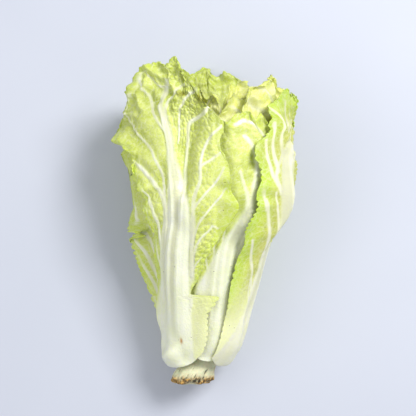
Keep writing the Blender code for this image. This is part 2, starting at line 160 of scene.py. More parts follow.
# The heart's rings and sides, and its folds.
HEART_RINGS = 130
HEART_TURNS = 170
HEART_FOLD = 0.012  # how far apart the folds are

# The middle of the picture, measured from the head's axis, and the picture's width there.
PICTURE_MIDDLE = (0.001056, 0.182688, 0.055)
PICTURE_WIDTH = 0.439296


@dataclass(frozen=True)
class Vein:
    """A raised vein along rounded (across, station) points, tapering from its first half width."""

    points: tuple
    start: float = 0.0016
    end: float = 0.0006
    height: float = 0.0013


@dataclass(frozen=True)
class Leaf:
    """One leaf. Left and right are as seen from outside with the stem at the bottom."""

    name: str
    base: float
    tip: float
    layer: float  # the least share of the head's radius that the leaf's outside reaches
    course: tuple  # (station, direction of the rib in degrees)
    left: tuple  # (station, half width)
    right: tuple
    drops: tuple  # how far the tip's corners lie behind its middle, left and right
    left_stand: tuple = ((0.0, 0.0), (1.0, 0.0))
    right_stand: tuple = ((0.0, 0.0), (1.0, 0.0))
    closing: float = 0.0  # the share by which the leaf closes in at its tip
    ribs: tuple = ((0.0, 0.0180), (0.35, 0.0150), (0.55, 0.0110), (0.72, 0.0060), (1.0, 0.0025))
    rib_heights: tuple = ((0.0, 0.0016), (0.08, 0.0048), (0.35, 0.0046), (0.65, 0.0026), (1.0, 0.0004))
    flare: float = 0.004
    frill: float = 0.005
    lobe: float = 0.003
    waves: tuple = (9, 14)  # how many slow and quick waves the frill has round the leaf
    seed: int = 1
    columns: int = 60
    rows: int = 150
    # What only the dressed leaf has.
    rib_course: tuple = ((0.0, 0.0), (1.0, 0.0))  # (station, how far across the rib's crest lies)
    white_left: tuple = ()  # (station, how far the white of the rib reaches)
    white_right: tuple = ()
    rib_fade: float = 1.1  # the share of the length where the rib's white is gone
    left_teeth: tuple = ((0.0, 0.0), (1.0, 0.0))  # (station, depth of the teeth)
    right_teeth: tuple = ((0.0, 0.0), (1.0, 0.0))
    tip_teeth: float = 0.0022
    ruffle: float = 0.0036
    roll: float = 0.003  # how far the margin near the tip curls back
    most_relief: float = 0.0055  # the most that ruffles and curls stand up
    settles: float = 0.62  # the share of the length from which the margin lies closer than the plain leaf's
    pucker: float = 0.0016
    puff: float = 0.0012
    wads: float = 0.001  # how high the margin near the tip is crumpled
    crumple: tuple = ((0.0, 0.0), (0.78, 0.0), (1.0, 0.003))  # (share of the length, height of the crumples)
    green: tuple = ((0.0, 0.010), (1.0, 0.020))  # (station, how far in from the edge the green reaches)
    veins: tuple = ()
    painted_hollow_shade: tuple = ()  # (across, station, half width, half length) of hollows that are painted dark as shade
    bruises: tuple = ()  # the same for tan marks


def through(points, x):
    """The smooth curve through a row of (x, y) points, which never swings past them."""
    xs, ys = np.array(points, float).T
    rises = np.diff(ys) / np.diff(xs)
    before, after = rises[:-1], rises[1:]
    same_way = before * after > 0
    mean_rises = 2 * before * after / np.where(same_way, before + after, 1)
    slopes = np.concatenate([rises[:1], np.where(same_way, mean_rises, 0), rises[-1:]])
    x = np.clip(x, xs[0], xs[-1])
    i = np.clip(np.searchsorted(xs, x, side="right") - 1, 0, len(xs) - 2)
    step = xs[i + 1] - xs[i]
    t = (x - xs[i]) / step
    start = (1 + 2 * t) * (1 - t) ** 2 * ys[i] + t * (1 - t) ** 2 * step * slopes[i]
    return start + t * t * (3 - 2 * t) * ys[i + 1] + t * t * (t - 1) * step * slopes[i + 1]


def ramp(x, low, high):
    """0 below low, 1 above high, and smooth between."""
    t = np.clip((x - low) / (high - low), 0, 1)
    return t * t * (3 - 2 * t)


def half_width_at(station):
    """Half the head's width."""
    return through(WIDTH_SHARES, station) * HEAD_WIDTH / 2


def head_radius(station, angle):
    """The head's own radius: an oval that is flatter below, where it lies on its side."""
    half_height = through(HEIGHT_SHARES, station) * HEAD_HEIGHT / 2
    power = SECTION_POWER + PRESSED_POWER * ramp(-np.sin(angle), 0.0, 0.8)
    across = np.abs(np.cos(angle)) / half_width_at(station)
    up = np.abs(np.sin(angle)) / half_height
    return (across**power + up**power) ** (-1 / power)


def place(station, angle, radius):
    """Points in space, as rows of x, y and z, measured from the head's axis."""
    x = through(AXIS_SIDE, station) + radius * np.cos(angle)
    z = through(AXIS_HEIGHT, station) + radius * np.sin(angle)
    return np.stack([x, station, z], axis=-1)


def neighbours(field):
    """The field and its eight shifted copies, one step along the stations and the directions."""
    padded = np.pad(field, ((1, 1), (0, 0)), mode="edge")
    rows = [padded[i : i + len(field)] for i in range(3)]
    return [np.roll(row, turn, axis=1) for row in rows for turn in (-1, 0, 1)]


def spread(field):
    """The field widened by a few steps and smoothed, which nowhere falls below the field itself."""
    for _ in range(SPREAD):
        field = np.max(neighbours(field), axis=0)
    return np.mean(neighbours(field), axis=0)


def spline_weights(t):
    """The shares of four neighbours in a smooth curve past them, a part t beyond the second."""
    first = (1 - t) ** 3
    second = 3 * t**3 - 6 * t**2 + 4
    third = -3 * t**3 + 3 * t**2 + 3 * t + 1
    return first / 6, second / 6, third / 6, t**3 / 6


def read_between(table, along, around):
    """A table read smoothly between its rows, which end, and its columns, which go round."""
    row, column = np.floor(along).astype(int), np.floor(around).astype(int)
    total = 0.0
    for j, along_weight in enumerate(spline_weights(along - row)):
        rows = np.clip(row + j - 1, 0, len(table) - 1)
        for i, around_weight in enumerate(spline_weights(around - column)):
            columns = (column + i - 1) % table.shape[1]
            total = total + along_weight * around_weight * table[rows, columns]
    return total


def sample(field, station, angle):
    """The field read at stations and directions round the head."""
    return read_between(field, (station - STATIONS[0]) / STATION_STEP, angle / ANGLE_STEP)


def unevenness(x, y, seed):
    """A smooth random relief of about -1 to 1, whose lumps are about one unit across."""
    table = np.random.default_rng(seed).uniform(-1.6, 1.6, (64, 64))
    return read_between(table, np.mod(x, 60.0) + 2, np.mod(y, 64.0))


def creases(x, y, seed):
    """Sharp ridges, 1 along winding lines about a unit apart and down to 0 between them."""
    return np.clip(1 - 1.3 * np.abs(unevenness(x, y, seed)), 0, 1)


def cell_walls(x, y, seed):
    """How near a point is to the wall between two cells about one unit across: 0 on the wall."""
    shifts = np.random.default_rng(seed).uniform(0.0, 1.0, (64, 64, 2))
    column, row = np.floor(x).astype(int), np.floor(y).astype(int)
    nearest = np.full(np.shape(x), 9.0)
    second = np.full(np.shape(x), 9.0)
    for j in (-1, 0, 1):
        for i in (-1, 0, 1):
            shift = shifts[(column + i) % 64, (row + j) % 64]
            distance = np.hypot(column + i + shift[..., 0] - x, row + j + shift[..., 1] - y)
            second = np.minimum(second, np.maximum(nearest, distance))
            nearest = np.minimum(nearest, distance)
    return second - nearest


def curve_points(points, steps=5):
    """A smooth line through a few (across, station) points."""
    line = np.array(points, float)
    lengths = np.concatenate([[0], np.cumsum(np.hypot(*np.diff(line, axis=0).T))])
    wanted = np.linspace(0, lengths[-1], steps * (len(line) - 1) + 1)
    before = 2 * line[0] - line[1]
    after = 2 * line[-1] - line[-2]
    line = np.vstack([before, line, after])
    i = np.clip(np.searchsorted(lengths, wanted, side="right") - 1, 0, len(lengths) - 2)
    t = ((wanted - lengths[i]) / (lengths[i + 1] - lengths[i]))[:, None]
    a, b, c, d = line[i], line[i + 1], line[i + 2], line[i + 3]
    return b + 0.5 * t * (c - a + t * (2 * a - 5 * b + 4 * c - d + t * (3 * (b - c) + d - a)))


def vein_relief(veins, across, station):
    """The height of the raised veins, how much of their white shows, and how far the nearest is."""
    height = np.zeros_like(across)
    white = np.zeros_like(across)
    away = np.full_like(across, VEIN_SIGHT)
    for vein in veins:
        line = curve_points(np.array(vein.points) / 1000)
        low, high = line.min(axis=0) - VEIN_SIGHT, line.max(axis=0) + VEIN_SIGHT
        near = (across > low[0]) & (across < high[0]) & (station > low[1]) & (station < high[1])
        x, y = across[near], station[near]
        nearest = np.full(x.shape, 1.0)
        width = np.full(x.shape, vein.end)
        for i, (start, end) in enumerate(zip(line[:-1], line[1:])):
            run = end - start
            share = np.clip(((x - start[0]) * run[0] + (y - start[1]) * run[1]) / (run @ run), 0, 1)
            distance = np.hypot(x - start[0] - share * run[0], y - start[1] - share * run[1])
            closer = distance < nearest
            nearest = np.where(closer, distance, nearest)
            taper = (i + share) / (len(line) - 1)
            width = np.where(closer, vein.start + (vein.end - vein.start) * taper, width)
        swell = np.clip(1 - (nearest / (VEIN_SWELL * width)) ** 2, 0, 1) ** 1.5
        height[near] = np.maximum(height[near], vein.height * (width / vein.start) ** 0.7 * swell)
        white[near] = np.maximum(white[near], 1 - ramp(nearest, 0.7 * width, VEIN_SWELL * width))
        away[near] = np.minimum(away[near], nearest)
    return height, white, away


def teeth(station, depth, seed):
    """How far a toothed margin is cut back, with teeth about TOOTH_SPACING apart."""
    wander = unevenness(station / 0.018, 0 * station + 3.5, seed)
    tooth = np.abs(np.sin(math.pi * (station / TOOTH_SPACING + 1.7 * wander)))
    size = 0.55 + 0.5 * unevenness(station / 0.009, 0 * station + 9.5, seed)
    return -depth * size * (1 - tooth) ** 1.3


def net_lines(leaf, u, v, toothed):
    """Where a leaf's points lie along and round the head, with or without its teeth."""
    row = u**ROW_CROWDING
    reach = leaf.tip - leaf.base
    level = leaf.base + reach * row
    phases = np.random.default_rng(leaf.seed).uniform(0, 2 * math.pi, 5)
    lobes = leaf.lobe * (np.sin(9 * v + phases[2]) + 0.6 * np.sin(16 * v + phases[3]))
    drop = np.where(v < 0, *leaf.drops) * np.abs(v) ** TIP_ROUNDING
    length = reach + (lobes - drop) * ramp(row, 0.2, 0.95)
    if toothed:
        length = length + teeth(v * 0.06 + 0.2, leaf.tip_teeth, leaf.seed + 7) * row**14
    station = leaf.base + HEEL * v * v * (1 - row) ** 4 + length * row
    half = np.where(v < 0, through(leaf.left, level), through(leaf.right, level))
    side_lobes = np.sin(LOBES_PER_METRE * station + phases[4]) * ramp(row, 0.35, 0.6)
    half = half * (1 + LOBED_SIDES * side_lobes)
    across = v * half
    if toothed:
        depth = np.where(v < 0, through(leaf.left_teeth, station), through(leaf.right_teeth, station))
        left_cut, right_cut = teeth(station, depth, leaf.seed + 1), teeth(station, depth, leaf.seed + 2)
        across = across + v * np.where(v < 0, left_cut, right_cut) * ramp(row, 0.02, 0.08) * np.abs(v) ** 8
    angle = np.radians(through(leaf.course, level)) - across / half_width_at(station)
    return row, station, half, across, angle, length, phases


def plain_lift(leaf, station, angle, row, v, half, length, phases):
    """How far a leaf stands off what is under it: a flared tip, a standing margin and a frill."""
    across = v * half
    to_tip = (1 - row) * length
    to_edge = np.minimum((1 - np.abs(v)) * half, to_tip)
    middle = leaf.base + 0.6 * (leaf.tip - leaf.base)
    bearing = np.arctan2(station - middle, across)
    slow, quick = leaf.waves
    wave = 0.5 + 0.3 * np.sin(slow * bearing + phases[0]) + 0.2 * np.sin(quick * bearing + phases[1])
    frill = leaf.frill * np.clip(1 - to_edge / FRILL_REACH, 0, 1) ** FRILL_RISE * wave * ramp(row, 0.25, 0.62)
    flare = leaf.flare * np.clip(1 - to_tip / TIP_REACH, 0, 1) ** 2
    stand = np.where(v < 0, through(leaf.left_stand, station), through(leaf.right_stand, station))
    free = 1 - (1 - PRESSED_FRILL) * ramp(-np.sin(angle), 0.35, 0.85)
    return free * (flare + stand * np.abs(v) ** STAND_RISE + frill), free, to_edge, to_tip


def inner_radius(bed, station, angle, lift):
    """Where a leaf's inside lies: on its bed, with the usual gap and what it stands off."""
    gap = BASE_GAP + (LEAF_GAP - BASE_GAP) * ramp(station, *GAP_STATIONS)
    return sample(bed, station, angle) * head_radius(station, angle) + gap + lift


def plain_rib(leaf, row, from_rib):
    """How far the rib stands out of the blade."""
    rib_half = RIB_SPREAD * through(leaf.ribs, row)
    return through(leaf.rib_heights, row) * np.clip(1 - (from_rib / rib_half) ** 2, 0, 1) ** 1.5


def plain_sheet(leaf, bed, u, v):
    """Station, direction, inner and outer radius of the CAD part's own leaf."""
    row, station, half, across, angle, length, phases = net_lines(leaf, u, v, False)
    lift = plain_lift(leaf, station, angle, row, v, half, length, phases)[0]
    inner = inner_radius(bed, station, angle, lift)
    return station, angle, inner, inner + LAMINA + plain_rib(leaf, row, across)


def rib_white(leaf, row, station, across, from_rib):
    """How much of the rib's white shows, between its own edges where the leaf has them."""
    if not leaf.white_left:
        rib_half = RIB_SPREAD * through(leaf.ribs, row)
        return 1 - ramp(np.abs(from_rib), 0.55 * rib_half, 1.0 * rib_half)
    reach_left, reach_right = through(leaf.white_left, station), through(leaf.white_right, station)
    white = ramp(across, -reach_left - 0.003, -reach_left + 0.002)
    return white * (1 - ramp(across, reach_right - 0.002, reach_right + 0.003))


def puckers(leaf, v, station, across, from_vein):
    """The domes between the small veins and beside the large ones, and how far the domes' walls are."""
    wander_x = unevenness(across / WANDER_SIZE[0], station / WANDER_SIZE[1], leaf.seed + 21)
    wander_y = unevenness(across / WANDER_SIZE[1], station / WANDER_SIZE[0], leaf.seed + 22)
    walls = cell_walls(
        across / PUCKER_SIZE + wander_x, station / (0.85 * PUCKER_SIZE) + wander_y, leaf.seed + 80,
    )
    finer = cell_walls(
        across / (0.5 * PUCKER_SIZE) + wander_y, station / (0.45 * PUCKER_SIZE) + wander_x, leaf.seed + 81,
    )
    domes = 1 - np.exp(-((walls / PUCKER_WALL) ** 2))
    domes = domes + 0.25 * (1 - np.exp(-((finer / 0.3) ** 2)))
    patchy = 0.6 + 0.5 * unevenness(across / PATCH_SIZE[0], station / PATCH_SIZE[1], leaf.seed + 30)
    patchy = patchy * (1 + 0.4 * np.clip(3 * v, -1, 1))
    puff = 1 - np.exp(-((from_vein / PUFF_REACH) ** 2))
    return leaf.pucker * domes * patchy + leaf.puff * puff, walls


def crumples(leaf, row, station, across, to_edge):
    """How high the leaf is crumpled, and the sharp ridges of the crumples, from 0 to 1."""
    at_margin = np.clip(1 - to_edge / WAD_REACH, 0, 1) * ramp(row, 0.5, 0.8)
    wad = through(leaf.crumple, row) + leaf.wads * at_margin
    broad = creases(across / BROAD_CRUMPLE[0], station / BROAD_CRUMPLE[1], leaf.seed + 50)
    fine = creases(across / FINE_CRUMPLE[0], station / FINE_CRUMPLE[1], leaf.seed + 51)
    return wad, 0.65 * broad**1.3 + 0.35 * fine


def rolled_margin(leaf, row, v, half, to_tip, round_edge):
    """How far the margin near the tip curls back here and there, and the shares at its side and tip."""
    here = np.clip(0.45 + 0.75 * unevenness(round_edge / ROLL_LENGTH, 0 * v + 5.5, leaf.seed + 90), 0, 1)
    curl = leaf.roll * here * ramp(row, 0.50, 0.78)
    side_curl = np.clip(1 - (1 - np.abs(v)) * half / (ROLL_REACH * leaf.roll), 0, 1)
    tip_curl = np.clip(1 - to_tip / (ROLL_REACH * leaf.roll), 0, 1)
    return curl, side_curl, tip_curl


def spot_shade(spots, station, across):
    """How much of a leaf's soft round spots shows."""
    shade = np.zeros_like(across)
    for q, s, half_across, half_along in spots:
        away = ((across - q) / half_across) ** 2 + ((station - s) / half_along) ** 2
        shade = np.maximum(shade, np.exp(-away))
    return shade


def leaf_sheet(leaf, bed, ceiling, u, v):
    """Station, direction, inner and outer radius of the leaf's points, and what colours them."""
    row, station, half, across, angle, length, phases = net_lines(leaf, u, v, True)
    lift, free, to_edge, to_tip = plain_lift(leaf, station, angle, row, across / half, half, length, phases)
    free = np.maximum(free, ramp(station, *OPEN_TIPS))
    from_rib = across - through(leaf.rib_course, station) * ramp(row, 0.0, 0.1)

    # The rib's white and the veins both end a little inside the margin.
    raised, vein_white, from_vein = vein_relief(leaf.veins, across, station)
    inside = ramp(to_edge, 0.001, 0.008)
    white = rib_white(leaf, row, station, across, from_rib)
    white = white * ramp(to_tip, 0.006, 0.034) * (1 - ramp(row, leaf.rib_fade - 0.2, leaf.rib_fade))
    white = np.maximum(white, 0.95 * vein_white * inside)
    raised = raised * inside
    lamina = (1 - white) * ramp(row, 0.12, 0.35)

    # The margin's ruffles, the puckers and the crumpled tip.
    round_edge = np.where(np.abs(v) * half > 0.8 * to_tip, station, across + 0.4)
    folds = unevenness(round_edge / RUFFLE_LENGTH, to_edge / 0.022, leaf.seed + 40)
    curls = unevenness(round_edge / (0.5 * RUFFLE_LENGTH), to_edge / 0.009, leaf.seed + 60)
    near_edge = np.clip(1 - to_edge / RUFFLE_REACH, 0, 1) * ramp(row, 0.30, 0.55)
    ruffle = leaf.ruffle * (near_edge**1.2 * (0.5 + 0.5 * folds) + near_edge**2.2 * 0.35 * (1 + curls))
    domes, walls = puckers(leaf, v, station, across, from_vein)
    wad, ridges = crumples(leaf, row, station, across, to_edge)
    curl, side_curl, tip_curl = rolled_margin(leaf, row, v, half, to_tip, round_edge)
    rise = curl * (1 - ((1 - side_curl) * (1 - tip_curl)) ** 2)
    edge_relief = leaf.most_relief * (1 - np.exp(-(np.maximum(ruffle, 0) + rise) / leaf.most_relief))
    fine = free * (edge_relief + wad * ridges + lamina * domes)

    # Crumpled and curled parts also shift along the leaf.
    slip = 0.5 * wad * ramp(to_edge, 0.0, 0.006)
    slip_across = slip * unevenness(across / SLIP_SIZE, station / SLIP_SIZE, leaf.seed + 52)
    slip_along = slip * unevenness(across / SLIP_SIZE, station / SLIP_SIZE, leaf.seed + 53)
    outwards = near_edge**2 * 0.7 * leaf.ruffle * curls - ROLL_BACK * curl * side_curl**2
    across = across + slip_across + np.sign(v) * outwards
    course = np.radians(through(leaf.course, leaf.base + (leaf.tip - leaf.base) * row))
    angle = course - across / half_width_at(station)
    station = station + slip_along - ROLL_BACK * curl * tip_curl**2

    rib = plain_rib(leaf, row, from_rib)
    strand = 1.7 * creases(from_rib / STRAND_WIDTH + 30, station / STRAND_LENGTH, leaf.seed + 70) - 0.85
    strand = strand * white * ramp(row, 0.02, 0.30)
    proud = np.maximum(raised - 0.6 * rib, 0) + STRAND_HEIGHT * strand
    lift = lift * (1 - 0.6 * near_edge * ramp(row, leaf.settles, leaf.settles + 0.18))

    # Where another leaf lies over this one, the fine relief keeps to the room under it.
    inner = inner_radius(bed, station, angle, lift)
    plain_outer = inner + LAMINA + rib
    room = sample(ceiling, station, angle) * head_radius(station, angle) - plain_outer - CLEARANCE
    held = np.clip(room / np.maximum(fine + np.maximum(proud, 0), 1e-5), 0, 1)
    inner = inner + held * fine
    outer = plain_outer + held * (fine + proud)

    green = np.clip(1 - to_edge / through(leaf.green, station), 0, 1) * ramp(row, 0.10, 0.3)
    shades = {
        "white": white,
        "green": green,
        "pale": (1 - ramp(row, 0.10, 0.40)) * (1 - 0.8 * green),
        "walls": (1 - ramp(walls, 0.0, 0.15)) * lamina,
        # Painted shade: the grooves between the rib's raised strands are marked to be coloured darker.
        "painted_groove_shade": np.clip(-0.9 * strand, 0, 1),
        # Painted shade: the leaf is darkened in its hollows.
        "dark": spot_shade(leaf.painted_hollow_shade, station, across),
        "bruise": spot_shade(leaf.bruises, station, across),
        # Painted shade: the valleys between the crumples' ridges near the tip are marked to be coloured
        # darker.
        "deep": (1 - ridges) * np.clip(wad / 0.005, 0, 1) * (1 - white),
    }
    return station, angle, inner, outer, across, shades


def net_cells(station, angle):
    """The nearest station and direction of the net that the leaves are laid on."""
    rows = np.clip(np.rint((station - STATIONS[0]) / STATION_STEP).astype(int), 0, len(STATIONS) - 1)
    return rows, np.rint(angle / ANGLE_STEP).astype(int) % len(ANGLES)


@functools.cache
def laid_leaves():
    """The bed under each leaf, and the ceiling over it, as shares of the head's radius."""
    packed = packed_core()
    u, v = np.meshgrid(np.linspace(0, 1, SOUNDINGS[0]), np.linspace(-1, 1, SOUNDINGS[1]), indexing="ij")
    beds, insides, ceilings = {}, {}, {}
    for leaf in LEAVES:
        beds[leaf.name] = laid_down(leaf, packed)
        station, angle, inner, outer = plain_sheet(leaf, beds[leaf.name], u, v)
        cells, shell = net_cells(station, angle), head_radius(station, angle)
        packed = packed.copy()
        np.maximum.at(packed, cells, outer / shell)
        insides[leaf.name] = np.full(packed.shape, OPEN_SHARE)
        np.minimum.at(insides[leaf.name], cells, inner / shell)
    ceiling = np.full(packed.shape, OPEN_SHARE)
    for leaf in reversed(LEAVES):
        lowered = np.min(neighbours(np.min(neighbours(ceiling), axis=0)), axis=0)
        ceilings[leaf.name] = np.mean(neighbours(lowered), axis=0)
        ceiling = np.minimum(ceiling, insides[leaf.name])
    return beds, ceilings


def laid_down(leaf, packed):
    """The bed that a leaf is laid on, as shares of the head's radius."""
    stations, angles = np.meshgrid(STATIONS, ANGLES, indexing="ij")
    shell = head_radius(stations, angles)
    share = np.clip((stations - leaf.base) / (leaf.tip - leaf.base), 0, 1)
    own = leaf.layer - (through(leaf.rib_heights, share) + LAMINA) / shell
    own = own * (1 - leaf.closing * ramp(share, 0.72, 1.0))
    return spread(np.maximum(packed, own))


def fine_blade(columns, rows):
    """A thin closed blade over a square net, and its net: v across, u along, and which face."""
    mesh = bmesh.new()
    bmesh.ops.create_grid(mesh, x_segments=columns, y_segments=rows, size=1.0)
    bmesh.ops.solidify(mesh, geom=mesh.faces[:], thickness=0.5)
    data = bpy.data.meshes.new("leaf")
    mesh.to_mesh(data)
    mesh.free()
    net = np.empty(len(data.vertices) * 3)
    data.vertices.foreach_get("co", net)
    net = net.reshape(-1, 3)
    return data, net[:, 0], (net[:, 1] + 1) / 2, np.abs(net[:, 2]) < 0.25


def set_points(data, points):
    """Puts a mesh's vertices at the given points and turns its faces outwards."""
    data.vertices.foreach_set("co", np.ascontiguousarray(points, dtype=np.float32).ravel())
    mesh = bmesh.new()
    mesh.from_mesh(data)
    bmesh.ops.recalc_face_normals(mesh, faces=mesh.faces[:])
    mesh.to_mesh(data)
    mesh.free()


def set_shade(data, name, values):
    """Stores one number for each vertex, which the materials read."""
    layer = data.attributes.new(name, "FLOAT", "POINT")
    layer.data.foreach_set("value", np.asarray(values, dtype=np.float32))


def set_uv(data, across, along):
    """A UV map in metres, so that patterns lie along the leaf."""
    layer = data.uv_layers.new(name="leaf")
    corner = np.empty(len(data.loops), dtype=np.int32)
    data.loops.foreach_get("vertex_index", corner)
    layer.data.foreach_set("uv", np.stack([across[corner], along[corner]], axis=1).astype(np.float32).ravel())


def turned(profile, steps):
    """A profile of (station, radius) turned about the Y axis, with a point at each end."""
    mesh = bmesh.new()
    points = [mesh.verts.new((radius, station, 0.0)) for station, radius in profile]
    edges = [mesh.edges.new(pair) for pair in zip(points, points[1:])]
    turn = {"cent": (0, 0, 0), "axis": (0, 1, 0), "angle": 2 * math.pi, "steps": steps}
    bmesh.ops.spin(mesh, geom=points + edges, use_merge=True, **turn)
    bmesh.ops.remove_doubles(mesh, verts=mesh.verts[:], dist=1e-6)
    bmesh.ops.recalc_face_normals(mesh, faces=mesh.faces[:])
    data = bpy.data.meshes.new("turned")
    mesh.to_mesh(data)
    mesh.free()
    net = np.empty(len(data.vertices) * 3)
    data.vertices.foreach_get("co", net)
    net = net.reshape(-1, 3)
    return data, net[:, 1], np.arctan2(net[:, 2], net[:, 0]), np.hypot(net[:, 0], net[:, 2])


def stem_points(station, angle, radius):
    """The cut stub: broad and narrow lumps, and a rough rim."""
    upright, slanted, broad = SCAR_DEPTHS
    lumps = upright * np.sin(7 * angle + 260 * station + 1.0) + slanted * np.sin(13 * angle - 190 * station)
    lumps = (lumps + broad * np.sin(3 * angle + 2.1)) * ramp(0.014 - station, 0.0, 0.008)
    at_rim = ramp(0.004 - station, 0.0, 0.004) * ramp(radius, 0.004, 0.016)
    rim = RIM_ROUGHNESS * np.sin(5 * angle + 0.4) * at_rim
    return station + rim, angle, radius * (1 + lumps)


def axis_shift():
    """Where the head's axis starts in the CAD part, from the stem's own solid."""
    profile = np.array(((-CUT_DOME, 0.0), CUT_SHOULDER, *STEM_RADII, (STEM_LENGTH + 0.002, 0.0)))
    turns = np.arange(STEM_STEPS) * 2 * math.pi / STEM_STEPS
    turns = (turns + math.pi) % (2 * math.pi) - math.pi
    station, angle = np.meshgrid(profile[:, 0], turns, indexing="ij")
    radius = np.repeat(profile[:, 1:], STEM_STEPS, axis=1)
    points = place(*stem_points(station, angle, radius)).reshape(-1, 3)
    return np.array(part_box("stem")[0]) - points.min(axis=0)


SHIFT = axis_shift()


def heart_radius(station, angle):
    """The heart's radius: leaf edges wind round it, and it has the head's own flattened section."""
    oval = head_radius(station, angle) / half_width_at(station)
    turn = (HEART_LEAVES * angle / (2 * math.pi) - HEART_TWIST * station) % 1.0
    overlap = HEART_OVERLAP * (ramp(turn, 0.0, 0.25) - turn)
    ruffle = HEART_RUFFLE * np.sin(8 * angle + 60 * station + 1.3)
    relief = 1 + (overlap + ruffle) * ramp(station, 0.08, 0.16)
    return through(HEART_RADII, station) * (0.45 + 0.55 * oval) * relief


def packed_core():
    """How far out the stem and the heart reach, as shares of the head's radius."""
    stations, angles = np.meshgrid(STATIONS, ANGLES, indexing="ij")
    lumps = 1 + sum(SCAR_DEPTHS) * ramp(0.014 - stations, 0.0, 0.008)
    stem = np.where(stations <= STEM_LENGTH, through(STEM_RADII, stations) * lumps, 0.0)
    in_heart = (stations >= HEART_BASE) & (stations <= HEART_TIP)
    heart = np.where(in_heart, heart_radius(stations, angles) + 0.001, 0.0)
    return np.maximum(stem, heart) / head_radius(stations, angles)


def plain_margin(most, base, tip):
    """A plain leaf's margin: a broad stalk that widens to a rounded blade."""
    shares = ((0.0, 0.42), (0.16, 0.55), (0.45, 0.78), (0.75, 1.0), (1.0, 0.80))
    return tuple((base + along * (tip - base), share * most) for along, share in shares)


def side_veins(base, tip, left, right, seed, first=0.30, last=0.90):
    """Veins that leave the midrib by turns, lean towards the tip and end near the margin."""
    rng = np.random.default_rng(seed + 100)
    veins = []
    reach = tip - base
    for side, margin in ((-1, left), (1, right)):
        for share in np.arange(first, last, 0.095) + rng.uniform(-0.02, 0.02):
            start = base + share * reach
            rise = (0.30 - 0.20 * share) * reach
            half = float(through(margin, start + rise)) * rng.uniform(0.84, 0.95)
            bow = rng.uniform(0.30, 0.42)
            path = ((0.03, 0.0), (0.30, bow), (0.65, bow + 0.28), (1.0, 1.0))
            points = tuple((1000 * side * half * x, 1000 * (start + rise * y)) for x, y in path)
            veins.append(Vein(points, 0.0015, 0.0006, 0.0010))
    return tuple(veins)


def inner_leaf(number, seed, base, tip, layer, course, most, **shape):
    """One of the leaves inside the head."""
    margin = plain_margin(most, base, tip)
    return Leaf(
        f"inner_leaf_{number}", base, tip, layer, course, margin, margin, (0.036, 0.036),
        ribs=((0.0, 0.0130), (0.4, 0.0110), (0.7, 0.0060), (1.0, 0.0020)),
        rib_heights=((0.0, 0.0010), (0.12, 0.0030), (0.4, 0.0028), (0.7, 0.0016), (1.0, 0.0004)),
        waves=(7, 11), seed=seed, columns=70, rows=130, tip_teeth=0.0024, ruffle=0.0044, roll=0.005,
        rib_fade=0.97, veins=side_veins(base, tip, margin, margin, seed),
        crumple=((0.0, 0.0), (0.62, 0.0), (0.84, 0.006), (1.0, 0.008)), wads=0.003, **shape,
    )


TOP_VEINS = (
    Vein((
        (-19, 60), (-17, 100), (-13, 140), (-12, 171), (-17, 209), (-32, 231), (-46, 251), (-54, 267),
        (-57, 279), (-52, 287), (-44, 297),
    ), 0.0017, 0.0005, 0.0016),
    Vein((
        (-14, 100), (-9, 146), (-13, 182), (-23, 199), (-42, 216), (-61, 229), (-70, 240), (-76, 259),
    ), 0.0022, 0.0010, 0.0018),
    Vein((
        (-15, 90), (-10, 122), (-24, 172), (-35, 191), (-52, 206), (-63, 216), (-85, 232),
    ), 0.0017, 0.0008, 0.0014),
    Vein(((-22, 70), (-13, 101), (-32, 172), (-44, 183), (-60, 201)), 0.0012, 0.0005, 0.0010),
    Vein((
        (-16, 252), (-21, 259), (-26, 268), (-28, 282), (-31, 290), (-36, 301), (-33, 314), (-25, 318),
    ), 0.0012, 0.0008, 0.0013),
    Vein(((-9, 300), (-19, 302), (-24, 309), (-25, 315)), 0.0010, 0.0006, 0.0012),
    Vein((
        (-5, 215), (-14, 245), (-16, 262), (-11, 277), (0, 288), (13, 300), (21, 303),
    ), 0.0015, 0.0008, 0.0014),
    Vein((
        (12, 120), (9, 180), (7, 210), (7, 218), (10, 242), (13, 259), (21, 264), (41, 269), (54, 275),
        (48, 288), (44, 295),
    ), 0.0016, 0.0013, 0.0022),
    Vein(((44, 295), (30, 292), (18, 287), (7, 275), (1, 259), (-3, 242)), 0.0013, 0.0007, 0.0014),
    Vein((
        (24, 110), (24, 153), (22, 184), (28, 202), (28, 216), (30, 228), (36, 240), (44, 248),
        (57, 254),
    ), 0.0018, 0.0008, 0.0015),
    Vein(((28, 212), (29, 217), (40, 223), (53, 232)), 0.0011, 0.0006, 0.0010),
    Vein(((26, 100), (24, 136), (22, 172), (34, 190), (43, 200), (52, 215)), 0.0015, 0.0006, 0.0012),
    Vein(((24, 95), (24, 118), (27, 155), (36, 171), (45, 183), (55, 195)), 0.0012, 0.0006, 0.0010),
    Vein(((22, 80), (24, 106), (29, 140), (41, 155), (43, 159), (49, 156)), 0.0015, 0.0006, 0.0012),
    Vein(((21, 75), (21, 93), (27, 118), (35, 128)), 0.0010, 0.0005, 0.0008),
    Vein((
        (-1, 22), (-1, 55), (5, 96), (7, 126), (7, 156), (4, 180), (-4, 210), (-12, 240), (-16, 260),
        (-16, 278), (-12, 293), (-5, 304),
    ), 0.0022, 0.0024, 0.0020),
)
